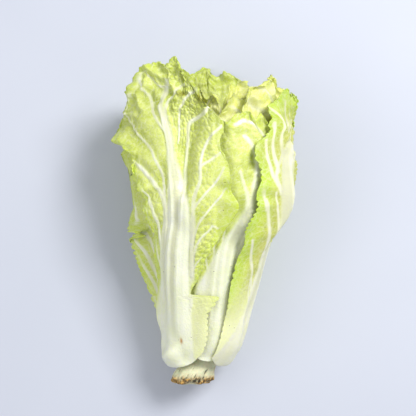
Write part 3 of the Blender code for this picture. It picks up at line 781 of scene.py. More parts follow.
MIDDLE_VEINS = (
    Vein((
        (1, 25), (-1, 56), (7, 96), (12, 121), (13, 150), (5, 169), (1, 194), (-2, 214), (-5, 229),
        (-10, 241), (-15, 247),
    ), 0.0034, 0.0016, 0.0016),
    Vein(((13, 140), (-3, 184), (-7, 194), (-20, 213)), 0.0015, 0.0007, 0.0010),
    Vein(((-6, 86), (-10, 120), (-18, 150), (-28, 175)), 0.0009, 0.0005, 0.0005),
    Vein(((-5, 86), (-5, 120), (-8, 150), (-17, 178)), 0.0009, 0.0005, 0.0005),
    Vein(((-8, 86), (-18, 118), (-30, 148), (-40, 165)), 0.0009, 0.0005, 0.0005),
    Vein(((6, 90), (14, 120), (22, 150), (24, 180)), 0.0009, 0.0005, 0.0005),
    Vein((
        (12, 170), (13, 215), (12, 229), (10, 244), (4, 255), (-9, 262), (-20, 258),
    ), 0.0022, 0.0010, 0.0016),
)
LEFT_VEINS = (
    Vein(((-8, 40), (-14, 70), (-24, 95), (-34, 118), (-40, 128)), 0.0013, 0.0006, 0.0010),
    Vein(((-8, 60), (-16, 100), (-28, 135), (-42, 165), (-50, 180)), 0.0013, 0.0006, 0.0010),
    Vein(((-7, 90), (-18, 130), (-34, 170), (-52, 205)), 0.0013, 0.0006, 0.0010),
    Vein(((-6, 120), (-18, 160), (-34, 200), (-50, 228)), 0.0012, 0.0006, 0.0009),
    Vein(((-16, 75), (-26, 84), (-32, 88)), 0.0009, 0.0004, 0.0006),
    Vein(((-20, 88), (-30, 98), (-38, 104)), 0.0009, 0.0004, 0.0006),
)
RIGHT_VEINS = (
    Vein((
        (8, 30), (0, 90), (-14, 150), (-30, 190), (-43, 209), (-39, 230), (-29, 248), (-28, 259),
    ), 0.0023, 0.0011, 0.0018),
    Vein((
        (6, 40), (4, 100), (-3, 150), (-8, 188), (-20, 217), (-22, 240), (-13, 264), (-13, 280),
    ), 0.0025, 0.0012, 0.0019),
    Vein(((3, 40), (-6, 90), (-24, 135), (-38, 165), (-48, 185)), 0.0020, 0.0009, 0.0014),
    Vein(((0, 40), (-12, 78), (-26, 108), (-38, 130), (-46, 145)), 0.0016, 0.0007, 0.0011),
    Vein(((12, 120), (22, 160), (38, 200), (48, 240), (50, 270)), 0.0022, 0.0009, 0.0016),
    Vein(((14, 90), (28, 130), (48, 170), (62, 205)), 0.0014, 0.0006, 0.0011),
    Vein(((-22, 240), (-31, 258), (-36, 277)), 0.0010, 0.0005, 0.0009),
    Vein(((-6, 50), (-12, 90), (-22, 125), (-32, 152)), 0.0015, 0.0006, 0.0010),
    Vein(((-4, 60), (-9, 110), (-22, 155), (-40, 192)), 0.0017, 0.0007, 0.0011),
    Vein(((-9, 50), (-18, 80), (-28, 108)), 0.0010, 0.0004, 0.0006),
    Vein(((-2, 120), (-16, 165), (-28, 200), (-33, 224)), 0.0018, 0.0008, 0.0013),
    Vein(((-32, 192), (-46, 208), (-56, 226), (-62, 244)), 0.0018, 0.0007, 0.0014),
    Vein(((-41, 214), (-50, 230), (-54, 248), (-50, 262)), 0.0017, 0.0008, 0.0014),
    Vein(((-38, 232), (-44, 248), (-42, 264), (-45, 276)), 0.0015, 0.0007, 0.0013),
    Vein(((-44, 175), (-54, 192), (-60, 206)), 0.0014, 0.0006, 0.0011),
    Vein(((-29, 250), (-22, 262), (-25, 274), (-21, 286)), 0.0014, 0.0007, 0.0012),
    Vein(((-21, 225), (-12, 240), (-6, 252), (-4, 272)), 0.0015, 0.0007, 0.0013),
)
LOWER_MARGIN = ((0.0155, 0.026), (0.170, 0.064), (0.347, 0.062))

LEAVES = (
    inner_leaf(
        6, 16, 0.048, 0.308, 0.66, ((0.05, 50), (0.22, 42), (0.30, 50)), 0.050,
        frill=0.005, flare=0.002, closing=0.05,
    ),
    inner_leaf(
        5, 15, 0.044, 0.300, 0.70, ((0.04, 92), (0.29, 98)), 0.056,
        frill=0.008, flare=0.002, closing=0.25,
    ),
    inner_leaf(
        4, 14, 0.040, 0.310, 0.72, ((0.04, 232), (0.31, 236)), 0.066,
        frill=0.005, flare=0.002, closing=0.4,
    ),
    inner_leaf(
        3, 13, 0.036, 0.294, 0.80, ((0.03, 66), (0.20, 50), (0.26, 50), (0.30, 58)), 0.058,
        frill=0.005, flare=0.002, closing=-0.06,
    ),
    inner_leaf(
        2, 12, 0.032, 0.314, 0.80, ((0.03, -14), (0.20, 8), (0.32, 32)), 0.068,
        frill=0.006, flare=0.002, closing=-0.04,
    ),
    inner_leaf(
        1, 11, 0.028, 0.314, 0.81, ((0.02, 182), (0.31, 186)), 0.078,
        frill=0.005, flare=0.004, closing=0.1,
    ),
    Leaf(
        "middle_leaf", 0.023, 0.270, 0.91,
        ((0.023, 76), (0.128, 71), (0.190, 56), (0.223, 50), (0.244, 52), (0.270, 60)),
        ((0.023, 0.026), (0.06, 0.036), (0.10, 0.047), (0.17, 0.054), (0.24, 0.054), (0.270, 0.038)),
        ((0.023, 0.022), (0.10, 0.022), (0.17, 0.026), (0.24, 0.036), (0.270, 0.030)),
        (0.018, 0.020), flare=0.001, frill=0.003, waves=(7, 11), seed=5, columns=90, rows=230,
        veins=MIDDLE_VEINS, ruffle=0.0015, rib_fade=0.82,
        white_left=((0.0, 0.030), (0.09, 0.030), (0.12, 0.016), (0.17, 0.001), (0.22, 0.004), (0.27, 0.014)),
        white_right=(
            (0.0, 0.030), (0.09, 0.030), (0.13, 0.022), (0.17, 0.010), (0.22, 0.001), (0.27, -0.008),
        ),
    ),
    Leaf(
        "side_leaf", 0.019, 0.292, 0.86, ((0.019, 216), (0.292, 210)),
        ((0.019, 0.022), (0.060, 0.040), (0.130, 0.056), (0.220, 0.066), (0.292, 0.052)),
        ((0.019, 0.018), (0.060, 0.026), (0.130, 0.032), (0.220, 0.044), (0.292, 0.040)),
        (0.044, 0.050), flare=0.002, frill=0.004, waves=(8, 13), seed=9, columns=80, rows=190,
        veins=side_veins(
            0.019, 0.292, ((0.019, 0.022), (0.130, 0.056), (0.292, 0.052)),
            ((0.019, 0.018), (0.130, 0.032), (0.292, 0.040)), 9, 0.2,
        ),
        left_teeth=((0.060, 0.0010), (0.292, 0.0025)), right_teeth=((0.060, 0.0010), (0.292, 0.0025)),
        green=((0.0, 0.014), (0.15, 0.024), (0.30, 0.030)), wads=0.002,
    ),
    Leaf(
        "left_leaf", 0.018, 0.262, 0.87, ((0.018, 164), (0.080, 156), (0.262, 152)),
        (
            (0.018, 0.015), (0.040, 0.018), (0.062, 0.021), (0.084, 0.024), (0.108, 0.027), (0.140, 0.030),
            (0.157, 0.033), (0.163, 0.014), (0.168, 0.014), (0.174, 0.035), (0.205, 0.037), (0.235, 0.041),
            (0.262, 0.042),
        ),
        ((0.018, 0.015), (0.080, 0.028), (0.160, 0.040), (0.262, 0.036)),
        (0.036, 0.040),
        left_stand=(
            (0.045, 0.0), (0.060, 0.001), (0.080, 0.006), (0.105, 0.011), (0.130, 0.0145), (0.150, 0.013),
            (0.160, 0.012), (0.175, 0.007), (0.200, 0.001), (0.215, 0.0),
        ),
        ribs=((0.0, 0.0110), (0.4, 0.0090), (0.7, 0.0050), (1.0, 0.0020)),
        rib_heights=((0.0, 0.0010), (0.12, 0.0024), (0.4, 0.0022), (0.7, 0.0012), (1.0, 0.0004)),
        flare=0.001, frill=0.003, waves=(8, 13), seed=6, columns=110, rows=230,
        veins=LEFT_VEINS,
        left_teeth=((0.030, 0.0010), (0.050, 0.0040), (0.230, 0.0045)), roll=0.001,
        green=((0.0, 0.010), (0.15, 0.018), (0.25, 0.030)), ruffle=0.0026,
    ),
    Leaf(
        "top_leaf", 0.016, 0.328, 0.955,
        ((0.016, 141), (0.054, 138), (0.128, 128), (0.190, 117), (0.244, 114), (0.290, 120), (0.328, 126)),
        (
            (0.016, 0.024), (0.050, 0.027), (0.105, 0.024), (0.150, 0.027), (0.197, 0.041), (0.219, 0.048),
            (0.240, 0.058), (0.273, 0.066), (0.297, 0.074), (0.328, 0.059),
        ),
        (
            (0.016, 0.024), (0.025, 0.033), (0.045, 0.040), (0.064, 0.041), (0.086, 0.052), (0.0885, 0.022),
            (0.105, 0.031), (0.126, 0.039), (0.160, 0.056), (0.200, 0.062), (0.280, 0.062), (0.328, 0.046),
        ),
        (0.054, 0.040),
        frill=0.007, waves=(10, 17), seed=3, columns=150, rows=300,
        veins=TOP_VEINS,
        rib_course=(
            (0.016, 0.0), (0.096, 0.003), (0.156, 0.004), (0.210, -0.003), (0.260, -0.014), (0.328, -0.012),
        ),
        white_left=(
            (0.016, 0.024), (0.055, 0.026), (0.096, 0.022), (0.127, 0.013), (0.171, 0.010), (0.210, 0.009),
            (0.240, 0.015), (0.278, 0.018), (0.300, 0.010),
        ),
        white_right=(
            (0.016, 0.022), (0.096, 0.021), (0.150, 0.022), (0.180, 0.017), (0.210, 0.003), (0.240, -0.008),
            (0.278, -0.013), (0.300, -0.012),
        ),
        right_teeth=((0.020, 0.001), (0.040, 0.0045), (0.084, 0.0045), (0.0885, 0.0), (0.300, 0.002)),
        left_teeth=((0.120, 0.0), (0.150, 0.0015), (0.300, 0.0025)),
        crumple=((0.0, 0.0), (0.77, 0.0), (0.88, 0.0060), (1.0, 0.0085)), roll=0.0060, most_relief=0.009,
        # Painted shade darkens these two hollows by the tip's curled edge.
        painted_hollow_shade=((0.043, 0.284, 0.008, 0.005), (0.014, 0.290, 0.006, 0.003)),
        bruises=((0.009, 0.044, 0.0014, 0.0028),), wads=0.002,
    ),
    Leaf(
        "right_leaf", 0.017, 0.300, 0.955,
        ((0.017, 30), (0.085, 18), (0.190, 13), (0.250, 9), (0.268, 8), (0.285, 14), (0.300, 20)),
        (
            (0.017, 0.028), (0.043, 0.036), (0.085, 0.046), (0.138, 0.052), (0.180, 0.057), (0.210, 0.057),
            (0.245, 0.074), (0.275, 0.060), (0.300, 0.044),
        ),
        ((0.017, 0.023), (0.060, 0.036), (0.130, 0.056), (0.220, 0.072), (0.260, 0.068), (0.300, 0.040)),
        (0.022, 0.030),
        left_stand=((0.020, 0.0), (0.100, 0.003), (0.200, 0.004), (0.250, 0.003), (0.300, 0.001)),
        flare=0.001, frill=0.006, lobe=0.002, waves=(13, 19), seed=2, columns=130, rows=270,
        veins=RIGHT_VEINS, ruffle=0.0060, settles=0.25, rib_fade=0.93,
        pucker=0.0022, puff=0.0020, most_relief=0.0042,
        left_teeth=((0.020, 0.0020), (0.120, 0.0026), (0.300, 0.0030)),
        right_teeth=((0.020, 0.0010), (0.300, 0.0030)),
        crumple=((0.0, 0.0), (0.66, 0.0), (0.84, 0.0030), (1.0, 0.0015)), wads=0.001, roll=0.002,
        green=((0.0, 0.012), (0.06, 0.018), (0.20, 0.024), (0.30, 0.040)),
        white_left=(
            (0.017, 0.030), (0.043, 0.026), (0.085, 0.020), (0.138, 0.020), (0.200, 0.033), (0.230, 0.038),
            (0.254, 0.032), (0.270, 0.030), (0.300, 0.018),
        ),
        white_right=(
            (0.017, 0.030), (0.060, 0.020), (0.085, 0.012), (0.138, 0.008), (0.200, -0.012), (0.230, -0.020),
            (0.254, -0.015), (0.270, -0.015), (0.300, -0.006),
        ),
        rib_course=(
            (0.017, 0.0), (0.085, -0.006), (0.138, -0.006), (0.200, -0.022), (0.230, -0.029), (0.254, -0.024),
            (0.300, -0.012),
        ),
    ),
    Leaf(
        "lower_leaf", 0.0155, 0.347, 0.965, ((0.0155, 268), (0.340, 272)),
        ((0.0155, 0.026), (0.080, 0.044), (0.170, 0.064), (0.260, 0.084), (0.347, 0.060)),
        ((0.0155, 0.026), (0.080, 0.044), (0.170, 0.064), (0.260, 0.084), (0.347, 0.062)),
        (0.034, 0.030), flare=0.0, frill=0.007, seed=4, columns=110, rows=230, roll=0.005,
        veins=side_veins(0.0155, 0.347, LOWER_MARGIN, LOWER_MARGIN, 4, 0.2, 0.62),
        left_teeth=((0.060, 0.0010), (0.30, 0.0030)), right_teeth=((0.060, 0.0010), (0.30, 0.0030)),
        green=((0.0, 0.014), (0.15, 0.024), (0.34, 0.034)), rib_fade=0.85,
        crumple=((0.0, 0.0), (0.76, 0.0), (0.88, 0.004), (1.0, 0.006)), wads=0.002,
    ),
)


def press_flat(points, outside):
    """Presses the lowest leaf's outside to one level where the head rests."""
    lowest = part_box("lower_leaf")[0][2] - SHIFT[2]
    points[:, 2] = np.maximum(points[:, 2], lowest)
    x, y, z = points.T
    below = (np.abs(x) < REST_HALF_WIDTH) & (y > REST_STATIONS[0]) & (y < REST_STATIONS[1])
    points[below & (z < lowest + REST_PRESS) & outside, 2] = lowest
    return points


@functools.cache
def grown_leaves():
    """Each leaf's mesh with its points and shades."""
    beds, ceilings = laid_leaves()
    leaves = {}
    for leaf in LEAVES:
        data, v, u, outside = fine_blade(leaf.columns, leaf.rows)
        if leaf.name.startswith("inner"):
            u = 1 - (1 - u) ** INNER_TIP_CROWDING
        sheet = leaf_sheet(leaf, beds[leaf.name], ceilings[leaf.name], u, v)
        station, angle, inner, outer, across, shades = sheet
        points = place(station, angle, np.where(outside, outer, inner))
        if leaf.name == "lower_leaf":
            points = press_flat(points, outside)
        set_points(data, points + SHIFT)
        set_uv(data, across, station)
        for name, values in shades.items():
            set_shade(data, name, values)
        leaves[leaf.name] = data
    return leaves


def linear(code):
    """An sRGB hex colour as the linear values that Blender takes."""
    values = [int(code[i : i + 2], 16) / 255 for i in (1, 3, 5)]
    return [v / 12.92 if v <= 0.04045 else ((v + 0.055) / 1.055) ** 2.4 for v in values] + [1.0]


def add_node(tree, kind, settings=None, links=None, **inputs):
    """Adds a node, sets its settings and input values, and links other nodes' outputs to it."""
    node = tree.nodes.new(kind)
    for name, value in (settings or {}).items():
        setattr(node, name, value)
    for name, value in inputs.items():
        node.inputs[int(name[1:]) if name[1:].isdigit() else name.replace("_", " ")].default_value = value
    for name, output in (links or {}).items():
        tree.links.new(output, node.inputs[name])
    return node


def attribute(tree, name):
    """A shade of the leaf or stem, which its vertices carry."""
    return add_node(tree, "ShaderNodeAttribute", {"attribute_name": name}).outputs["Fac"]


def times(tree, value, factor):
    """An output multiplied by a number."""
    return add_node(tree, "ShaderNodeMath", {"operation": "MULTIPLY"}, {0: value}, i1=factor).outputs[0]


def times_plus(tree, value, factor, added):
    """An output multiplied by a number, plus another output."""
    node = add_node(tree, "ShaderNodeMath", {"operation": "MULTIPLY_ADD"}, {0: value, 2: added}, i1=factor)
    return node.outputs[0]


def smooth_range(tree, value, **limits):
    """An output eased from one range into another."""
    eased = {"interpolation_type": "SMOOTHSTEP"}
    return add_node(tree, "ShaderNodeMapRange", eased, {"Value": value}, **limits).outputs["Result"]


def new_material(name):
    """A new material with its node tree and shader."""
    made = bpy.data.materials.new(name)
    made.use_nodes = True
    return made, made.node_tree, made.node_tree.nodes["Principled BSDF"]


def blend_colours(tree, share, first, second):
    """A colour between two, each an output or a linear colour, by a share from 0 to 1."""
    mix = add_node(tree, "ShaderNodeMix", {"data_type": "RGBA"})
    for socket, value in ((mix.inputs[0], share), (mix.inputs[6], first), (mix.inputs[7], second)):
        if isinstance(value, (list, tuple, float)):
            socket.default_value = value
        else:
            tree.links.new(value, socket)
    return mix.outputs[2]


def leaf_flesh(name, pale, deep, edge, rib, crease_shade_colour):
    """Fresh cabbage leaf: thin and waxy, with a soft sheen, juicy white ribs and a net of pale veins.

    The wax gives broad soft highlights, and the light that enters the thin blade brings out its
    yellow green. The white ribs are thick and watery, so they are paler and glossier.
    """
    made, tree, shader = new_material(name)
    uv = add_node(tree, "ShaderNodeUVMap", {"uv_map": "leaf"}).outputs["UV"]
    white = attribute(tree, "white")
    # Patches of paler and deeper green, 30 mm and 8 mm across.
    broad = add_node(tree, "ShaderNodeTexNoise", links={"Vector": uv}, Scale=33.0, Detail=3.0)
    small = add_node(tree, "ShaderNodeTexNoise", links={"Vector": uv}, Scale=120.0, Detail=2.0)
    mottle = times_plus(tree, small.outputs["Fac"], 0.6, broad.outputs["Fac"])
    patches = smooth_range(tree, mottle, From_Min=0.6, From_Max=1.0)
    colour = blend_colours(tree, patches, linear(pale), linear(deep))
    colour = blend_colours(tree, attribute(tree, "green"), colour, linear(edge))
    colour = blend_colours(tree, attribute(tree, "pale"), colour, linear("#f8fbbc"))
    # Painted shade: the crumples' valleys are blended towards the darker fold colour.
    colour = blend_colours(tree, times(tree, attribute(tree, "deep"), 0.55), colour, linear(crease_shade_colour))
    # The net of the smallest veins, about 3 mm between them, and drawn 0.5 mm wide.
    bent = add_node(tree, "ShaderNodeTexNoise", links={"Vector": uv}, Scale=150.0, Detail=1.0)
    shifted = add_node(
        tree, "ShaderNodeVectorMath", {"operation": "MULTIPLY_ADD"}, {0: bent.outputs["Color"], 2: uv},
        i1=(0.006, 0.006, 0.0),
    )
    net = add_node(
        tree, "ShaderNodeTexVoronoi", {"feature": "DISTANCE_TO_EDGE"}, {"Vector": shifted.outputs[0]},
        Scale=330.0, Randomness=1.0,
    )
    veins = smooth_range(tree, net.outputs["Distance"], From_Min=0.0, From_Max=0.18, To_Min=0.16, To_Max=0.0)
    colour = blend_colours(tree, veins, colour, linear(rib))
    colour = blend_colours(tree, times(tree, attribute(tree, "walls"), 0.30), colour, linear(rib))
    flesh = blend_colours(tree, times(tree, patches, 0.22), linear(rib), linear(pale))
    # Painted shade: the rib's grooves are blended towards a darker grey cream.
    flesh = blend_colours(tree, attribute(tree, "painted_groove_shade"), flesh, linear("#cfcfaa"))
    colour = blend_colours(tree, white, colour, flesh)
    # Small dark specks about 0.8 mm across, as cabbages have on their ribs.
    spots = add_node(tree, "ShaderNodeTexVoronoi", {"feature": "F1"}, {"Vector": uv}, Scale=130.0)
    speck = add_node(
        tree, "ShaderNodeMath", {"operation": "LESS_THAN"}, {0: spots.outputs["Distance"]}, i1=0.055,
    )
    chosen = add_node(tree, "ShaderNodeSeparateColor", links={"Color": spots.outputs["Color"]})
    rare = add_node(tree, "ShaderNodeMath", {"operation": "GREATER_THAN"}, {0: chosen.outputs[0]}, i1=0.60)
    both = {0: speck.outputs[0], 1: rare.outputs[0]}
    specks = add_node(tree, "ShaderNodeMath", {"operation": "MULTIPLY"}, both)
    colour = blend_colours(tree, specks.outputs[0], colour, linear("#6f6248"))
    # Painted shade: the hollows are darkened to a dark olive.
    colour = blend_colours(tree, attribute(tree, "dark"), colour, linear("#8b8a1c"))
    colour = blend_colours(tree, attribute(tree, "bruise"), colour, linear("#c08a4a"))
    tree.links.new(colour, shader.inputs["Base Color"])

    wrinkles = add_node(tree, "ShaderNodeTexNoise", links={"Vector": uv}, Scale=300.0, Detail=3.0)
    height = times_plus(tree, veins, 2.5, wrinkles.outputs["Fac"])
    bump = add_node(tree, "ShaderNodeBump", links={"Height": height}, Strength=0.45, Distance=0.0006)
    tree.links.new(bump.outputs["Normal"], shader.inputs["Normal"])
    gloss = add_node(tree, "ShaderNodeMapRange", links={"Value": white}, To_Min=0.42, To_Max=0.33)
    tree.links.new(gloss.outputs["Result"], shader.inputs["Roughness"])
    shader.inputs["IOR"].default_value = 1.42
    shader.inputs["Subsurface Weight"].default_value = 0.25
    shader.inputs["Subsurface Radius"].default_value = (1.0, 1.1, 0.35)
    shader.inputs["Subsurface Scale"].default_value = 0.003
    return made


def stem_flesh():
    """Cut cabbage stem: moist cream flesh that dries to a brown, corky rim where it was cut.

    The flesh is dull with dark scars where leaves were pulled off, and the dried rim is rough.
    """
    made, tree, shader = new_material("cut_cabbage_stem")
    place_at = add_node(tree, "ShaderNodeTexCoord").outputs["Object"]
    grain = add_node(tree, "ShaderNodeTexNoise", links={"Vector": place_at}, Scale=520.0, Detail=4.0)
    colour = blend_colours(tree, grain.outputs["Fac"], linear("#f3f3cf"), linear("#dedcae"))
    blotch = add_node(tree, "ShaderNodeTexNoise", links={"Vector": place_at}, Scale=380.0, Detail=3.0)
    contrast = add_node(
        tree, "ShaderNodeMapRange", links={"Value": blotch.outputs["Fac"]}, From_Min=0.36, From_Max=0.62,
    )
    tans = blend_colours(tree, contrast.outputs["Result"], linear("#4a3616"), linear("#d9ab5c"))
    colour = blend_colours(tree, attribute(tree, "corky"), colour, tans)
    colour = blend_colours(tree, attribute(tree, "pit"), colour, linear("#3d3320"))
    tree.links.new(colour, shader.inputs["Base Color"])
    bump = add_node(
        tree, "ShaderNodeBump", links={"Height": grain.outputs["Fac"]}, Strength=0.6, Distance=0.0006,
    )
    tree.links.new(bump.outputs["Normal"], shader.inputs["Normal"])
    shader.inputs["Roughness"].default_value = 0.7
    shader.inputs["Subsurface Weight"].default_value = 0.1
    shader.inputs["Subsurface Scale"].default_value = 0.002
    return made


def plain_cloth():
    """Matt pale backdrop paper, which takes soft shadows."""
    made, tree, shader = new_material("pale_backdrop_paper")
    place_at = add_node(tree, "ShaderNodeTexCoord").outputs["Object"]
    tone = add_node(tree, "ShaderNodeTexNoise", links={"Vector": place_at}, Scale=4.0, Detail=2.0)
    colour = blend_colours(tree, tone.outputs["Fac"], linear("#c3c7d3"), linear("#ced1dc"))
    tree.links.new(colour, shader.inputs["Base Color"])
    shader.inputs["Roughness"].default_value = 0.9
    return made


def add_piece(name, data, material, node):
    """A finished piece that rides on the head and stands for its CAD node."""
    data.materials.clear()
    data.materials.append(material)
    data.shade_smooth()
    data.name = name
    piece = bpy.data.objects.new(name, data)
    bpy.context.scene.collection.objects.link(piece)
    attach(piece, "root")
    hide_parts(node)
    return piece


class CabbageSettings(bpy.types.PropertyGroup):
    """What a user would change."""

    camera_distance: bpy.props.FloatProperty(
        name="Camera distance", description="How far the camera stands from the head", default=1.1,
        unit="LENGTH",
    )
    camera_elevation: bpy.props.FloatProperty(
        name="Camera elevation", description="The camera's angle above the floor, from the stem's side",
        default=math.radians(85), subtype="ANGLE",
    )
    frame_width: bpy.props.FloatProperty(
        name="Frame width", description="How wide the picture is at the head's middle height",
        default=PICTURE_WIDTH, unit="LENGTH",
    )
    floor_size: bpy.props.FloatProperty(
        name="Floor size", description="Length of the floor's side", default=8.0, unit="LENGTH",
    )
    stem_rim: bpy.props.FloatProperty(
        name="Rim lumps", description="How high the corky lumps round the cut stand", default=0.0022,
        unit="LENGTH",
    )
    heart_folds: bpy.props.FloatProperty(
        name="Heart folds", description="How deep the folds of the heart are", default=0.0012,
        unit="LENGTH",
    )


def stem_profile():
    """The stem's outline in fine steps: the domed cut, the corky rim and the side up to its top."""
    stations = np.concatenate([np.linspace(0, 0.020, 60), np.linspace(0.021, STEM_LENGTH, 20)])
    side = [(s, float(through(STEM_RADII, s))) for s in stations]
    cut_radius = STEM_RADII[0][1]
    face = [(-CUT_DOME + CUT_DOME * (r / cut_radius) ** 3, r) for r in np.linspace(0.0004, 0.0190, 26)]
    return (-CUT_DOME, 0.0), *face, *side, (STEM_LENGTH + 0.002, 0.0)


def stem_grain(station, angle, lumps, length, seed):
    """Uneven lumps of a length along the stem, with no step where the direction turns over."""
    seam = 1 - np.exp(-(((np.abs(angle) - math.pi) / 0.12) ** 2))
    return unevenness(angle * 20 / math.pi * lumps + 30, station / length, seed) * seam


class CABBAGE_OT_stem(bpy.types.Operator):
    """Makes the cut stem with its scars, pits and corky rim"""

    bl_idname = "cabbage.stem"
    bl_label = "Cut stem"

    def execute(self, context):
        settings = context.scene.cabbage
        data, station, angle, radius = turned(stem_profile(), STEM_TURNS)
        at_rim = np.exp(-(((station - RIM_STATION) / RIM_REACH) ** 2)) * ramp(radius, 0.010, 0.018)
        at_side = ramp(radius, *SIDE_RADII)
        lumps = stem_grain(station, angle, 1.6, 0.0022, 3)
        knobs = stem_grain(station, angle, 3.0, 0.0017, 5)
        scars = stem_grain(station, angle, 2.9, 0.0042, 8)
        ridges = stem_grain(station, angle, 1.1, 0.010, 12)
        knobby = settings.stem_rim * at_rim * (0.8 * lumps + 0.8 * knobs)
        below = ramp(0.017 - station, 0.0, 0.003) * at_side
        cuts = (0.0008 * ridges - 0.0008 * ramp(scars, 0.45, 0.9)) * below
        rough_station, rough_angle, rough_radius = stem_points(station, angle, radius)
        raised = rough_station - 0.5 * knobby * (radius < 0.0190)
        points = place(raised, rough_angle, rough_radius + knobby + cuts)
        set_points(data, points + SHIFT)
        corky = at_rim * (1.1 + 0.5 * (lumps - 0.2)) + 0.3 * ramp(ridges, 0.3, 0.9) * below
        corky = np.maximum(np.clip(corky, 0, 1), 0.25 * ramp(0.0005 - station, 0, 0.001))
        set_shade(data, "corky", corky)
        pits = stem_grain(station, angle, 4.3, 0.0016, 15) * ramp(0.011 - station, 0.0, 0.006)
        pit = 0.8 * ramp(scars, 0.62, 0.95) * below + ramp(-knobs - 0.3 * lumps, 0.4, 0.8) * at_rim
        pit = np.maximum(np.clip(pit, 0, 1), 0.8 * ramp(pits, 0.55, 0.85) * at_side)
        set_shade(data, "pit", pit)
        add_piece("cut_stem", data, stem_flesh(), "stem")
        return {"FINISHED"}


class CABBAGE_OT_heart(bpy.types.Operator):
    """Makes the heart, the young leaves that are packed too closely to tell apart"""

    bl_idname = "cabbage.heart"
    bl_label = "Heart"

    def execute(self, context):
        settings = context.scene.cabbage
        stations = np.linspace(HEART_BASE, HEART_TIP, HEART_RINGS)
        side = [(s, float(through(HEART_RADII, s))) for s in stations]
        profile = ((HEART_BASE - 0.001, 0.0), *side, (HEART_TIP + 0.0005, 0.0))
        data, station, angle, radius = turned(profile, HEART_TURNS)
        at_pole = radius < 1e-5
        folds = unevenness(station / HEART_FOLD, angle / (2 * math.pi) * 64, 21)
        wrinkled = settings.heart_folds * (folds - 1) * 0.5 * ramp(station, 0.10, 0.20)
        reach = np.where(at_pole, 0.0, heart_radius(station, angle) + wrinkled)
        set_points(data, place(station, angle, reach) + SHIFT)
        set_uv(data, angle * 0.03, station)
        # The last colour is painted shade for the crumples' valleys.
        flesh = leaf_flesh("heart_leaf_flesh", "#e6e47c", "#d2ce50", "#d8de62", "#f3f2c4", "#b5ac34")
        add_piece("heart_leaves", data, flesh, "heart")
        return {"FINISHED"}


class CABBAGE_OT_inner_leaves(bpy.types.Operator):
    """Makes the six leaves inside the head"""

    bl_idname = "cabbage.inner_leaves"
    bl_label = "Inner leaves"

    def execute(self, context):
        # The last colour is painted shade for the crumples' valleys.
        flesh = leaf_flesh("young_leaf_flesh", "#f2f3aa", "#dcdf70", "#cfd956", "#f8f7dc", "#c2c450")
        for name, data in grown_leaves().items():
            if name.startswith("inner"):
                add_piece(name.replace("inner_leaf", "inner_leaf_blade"), data, flesh, name)
        return {"FINISHED"}


class CABBAGE_OT_outer_leaves(bpy.types.Operator):
    """Makes the six leaves that wrap the head"""

    bl_idname = "cabbage.outer_leaves"
    bl_label = "Outer leaves"

    def execute(self, context):
        # The last colour of each is painted shade for the crumples' valleys.
        flesh = leaf_flesh("outer_leaf_flesh", "#cdd064", "#b3ba48", "#bad636", "#f0efd4", "#949a2c")
        top_flesh = leaf_flesh("top_leaf_flesh", "#dce67c", "#c3cf56", "#c8da46", "#f2f3dc", "#a2ad3a")
        for name, data in grown_leaves().items():
            if not name.startswith("inner"):
                material = flesh if name in ("right_leaf", "side_leaf") else top_flesh
                add_piece(name + "_blade", data, material, name)
        return {"FINISHED"}


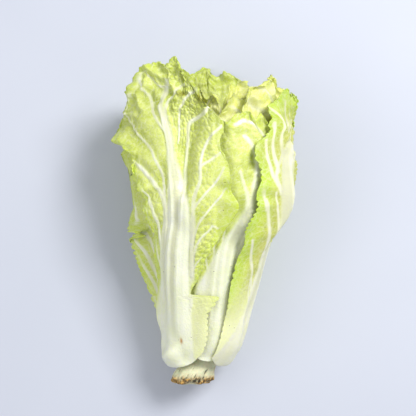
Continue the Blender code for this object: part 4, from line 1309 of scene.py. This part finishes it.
class CABBAGE_OT_stage(bpy.types.Operator):
    """Makes the floor, the light and the camera"""

    bl_idname = "cabbage.stage"
    bl_label = "Stage"

    def execute(self, context):
        settings = context.scene.cabbage
        scene = context.scene
        mesh = bmesh.new()
        bmesh.ops.create_grid(mesh, x_segments=1, y_segments=1, size=settings.floor_size / 2)
        data = bpy.data.meshes.new("floor")
        mesh.to_mesh(data)
        mesh.free()
        data.materials.append(plain_cloth())
        floor = bpy.data.objects.new("floor", data)
        scene.collection.objects.link(floor)

        self.add_lamp(scene, "key_light", (0.78, 0.58, 1.30), 0.6, 22.8)
        self.add_lamp(scene, "fill_light", (-1.1, -0.1, 1.2), 1.2, 6.5)
        world = bpy.data.worlds.new("studio")
        world.use_nodes = True
        world.node_tree.nodes["Background"].inputs["Color"].default_value = linear("#eef2f7")
        world.node_tree.nodes["Background"].inputs["Strength"].default_value = 0.54
        scene.world = world

        elevation = settings.camera_elevation
        target = np.array(PICTURE_MIDDLE) + SHIFT
        away = np.array([0.0, -math.cos(elevation), math.sin(elevation)])
        camera = bpy.data.cameras.new("camera")
        camera.sensor_width = 36
        camera.lens = 36 * settings.camera_distance / settings.frame_width
        holder = bpy.data.objects.new("camera", camera)
        holder.location = target + settings.camera_distance * away
        holder.rotation_euler = (math.pi / 2 - elevation, 0, 0)
        scene.collection.objects.link(holder)
        scene.camera = holder
        scene.view_settings.view_transform = "Standard"
        return {"FINISHED"}

    def add_lamp(self, scene, name, spot, size, power):
        lamp = bpy.data.lights.new(name, "AREA")
        lamp.size = size
        lamp.energy = power
        holder = bpy.data.objects.new(name, lamp)
        away = np.array(spot) / np.linalg.norm(spot)
        holder.location = spot
        holder.rotation_euler = (math.acos(away[2]), 0, math.atan2(away[1], away[0]) + math.pi / 2)
        scene.collection.objects.link(holder)


PIECES = (
    CABBAGE_OT_stem, CABBAGE_OT_heart, CABBAGE_OT_inner_leaves, CABBAGE_OT_outer_leaves, CABBAGE_OT_stage,
)


class CABBAGE_PT_panel(bpy.types.Panel):
    """Lists the pieces and the sizes in the 3D view's sidebar"""

    bl_idname = "CABBAGE_PT_panel"
    bl_label = "Chinese cabbage"
    bl_space_type = "VIEW_3D"
    bl_region_type = "UI"
    bl_category = "Cabbage"

    def draw(self, context):
        for name in CabbageSettings.__annotations__:
            self.layout.prop(context.scene.cabbage, name)
        for piece in PIECES:
            self.layout.operator(piece.bl_idname)


def register():
    for kind in (CabbageSettings, *PIECES, CABBAGE_PT_panel):
        bpy.utils.register_class(kind)
    bpy.types.Scene.cabbage = bpy.props.PointerProperty(type=CabbageSettings)


def unregister():
    del bpy.types.Scene.cabbage
    for kind in reversed((CabbageSettings, *PIECES, CABBAGE_PT_panel)):
        bpy.utils.unregister_class(kind)


def main():
    register()
    bpy.ops.cabbage.stem()
    bpy.ops.cabbage.heart()
    bpy.ops.cabbage.inner_leaves()
    bpy.ops.cabbage.outer_leaves()
    bpy.ops.cabbage.stage()


if __name__ == "__main__":
    main()
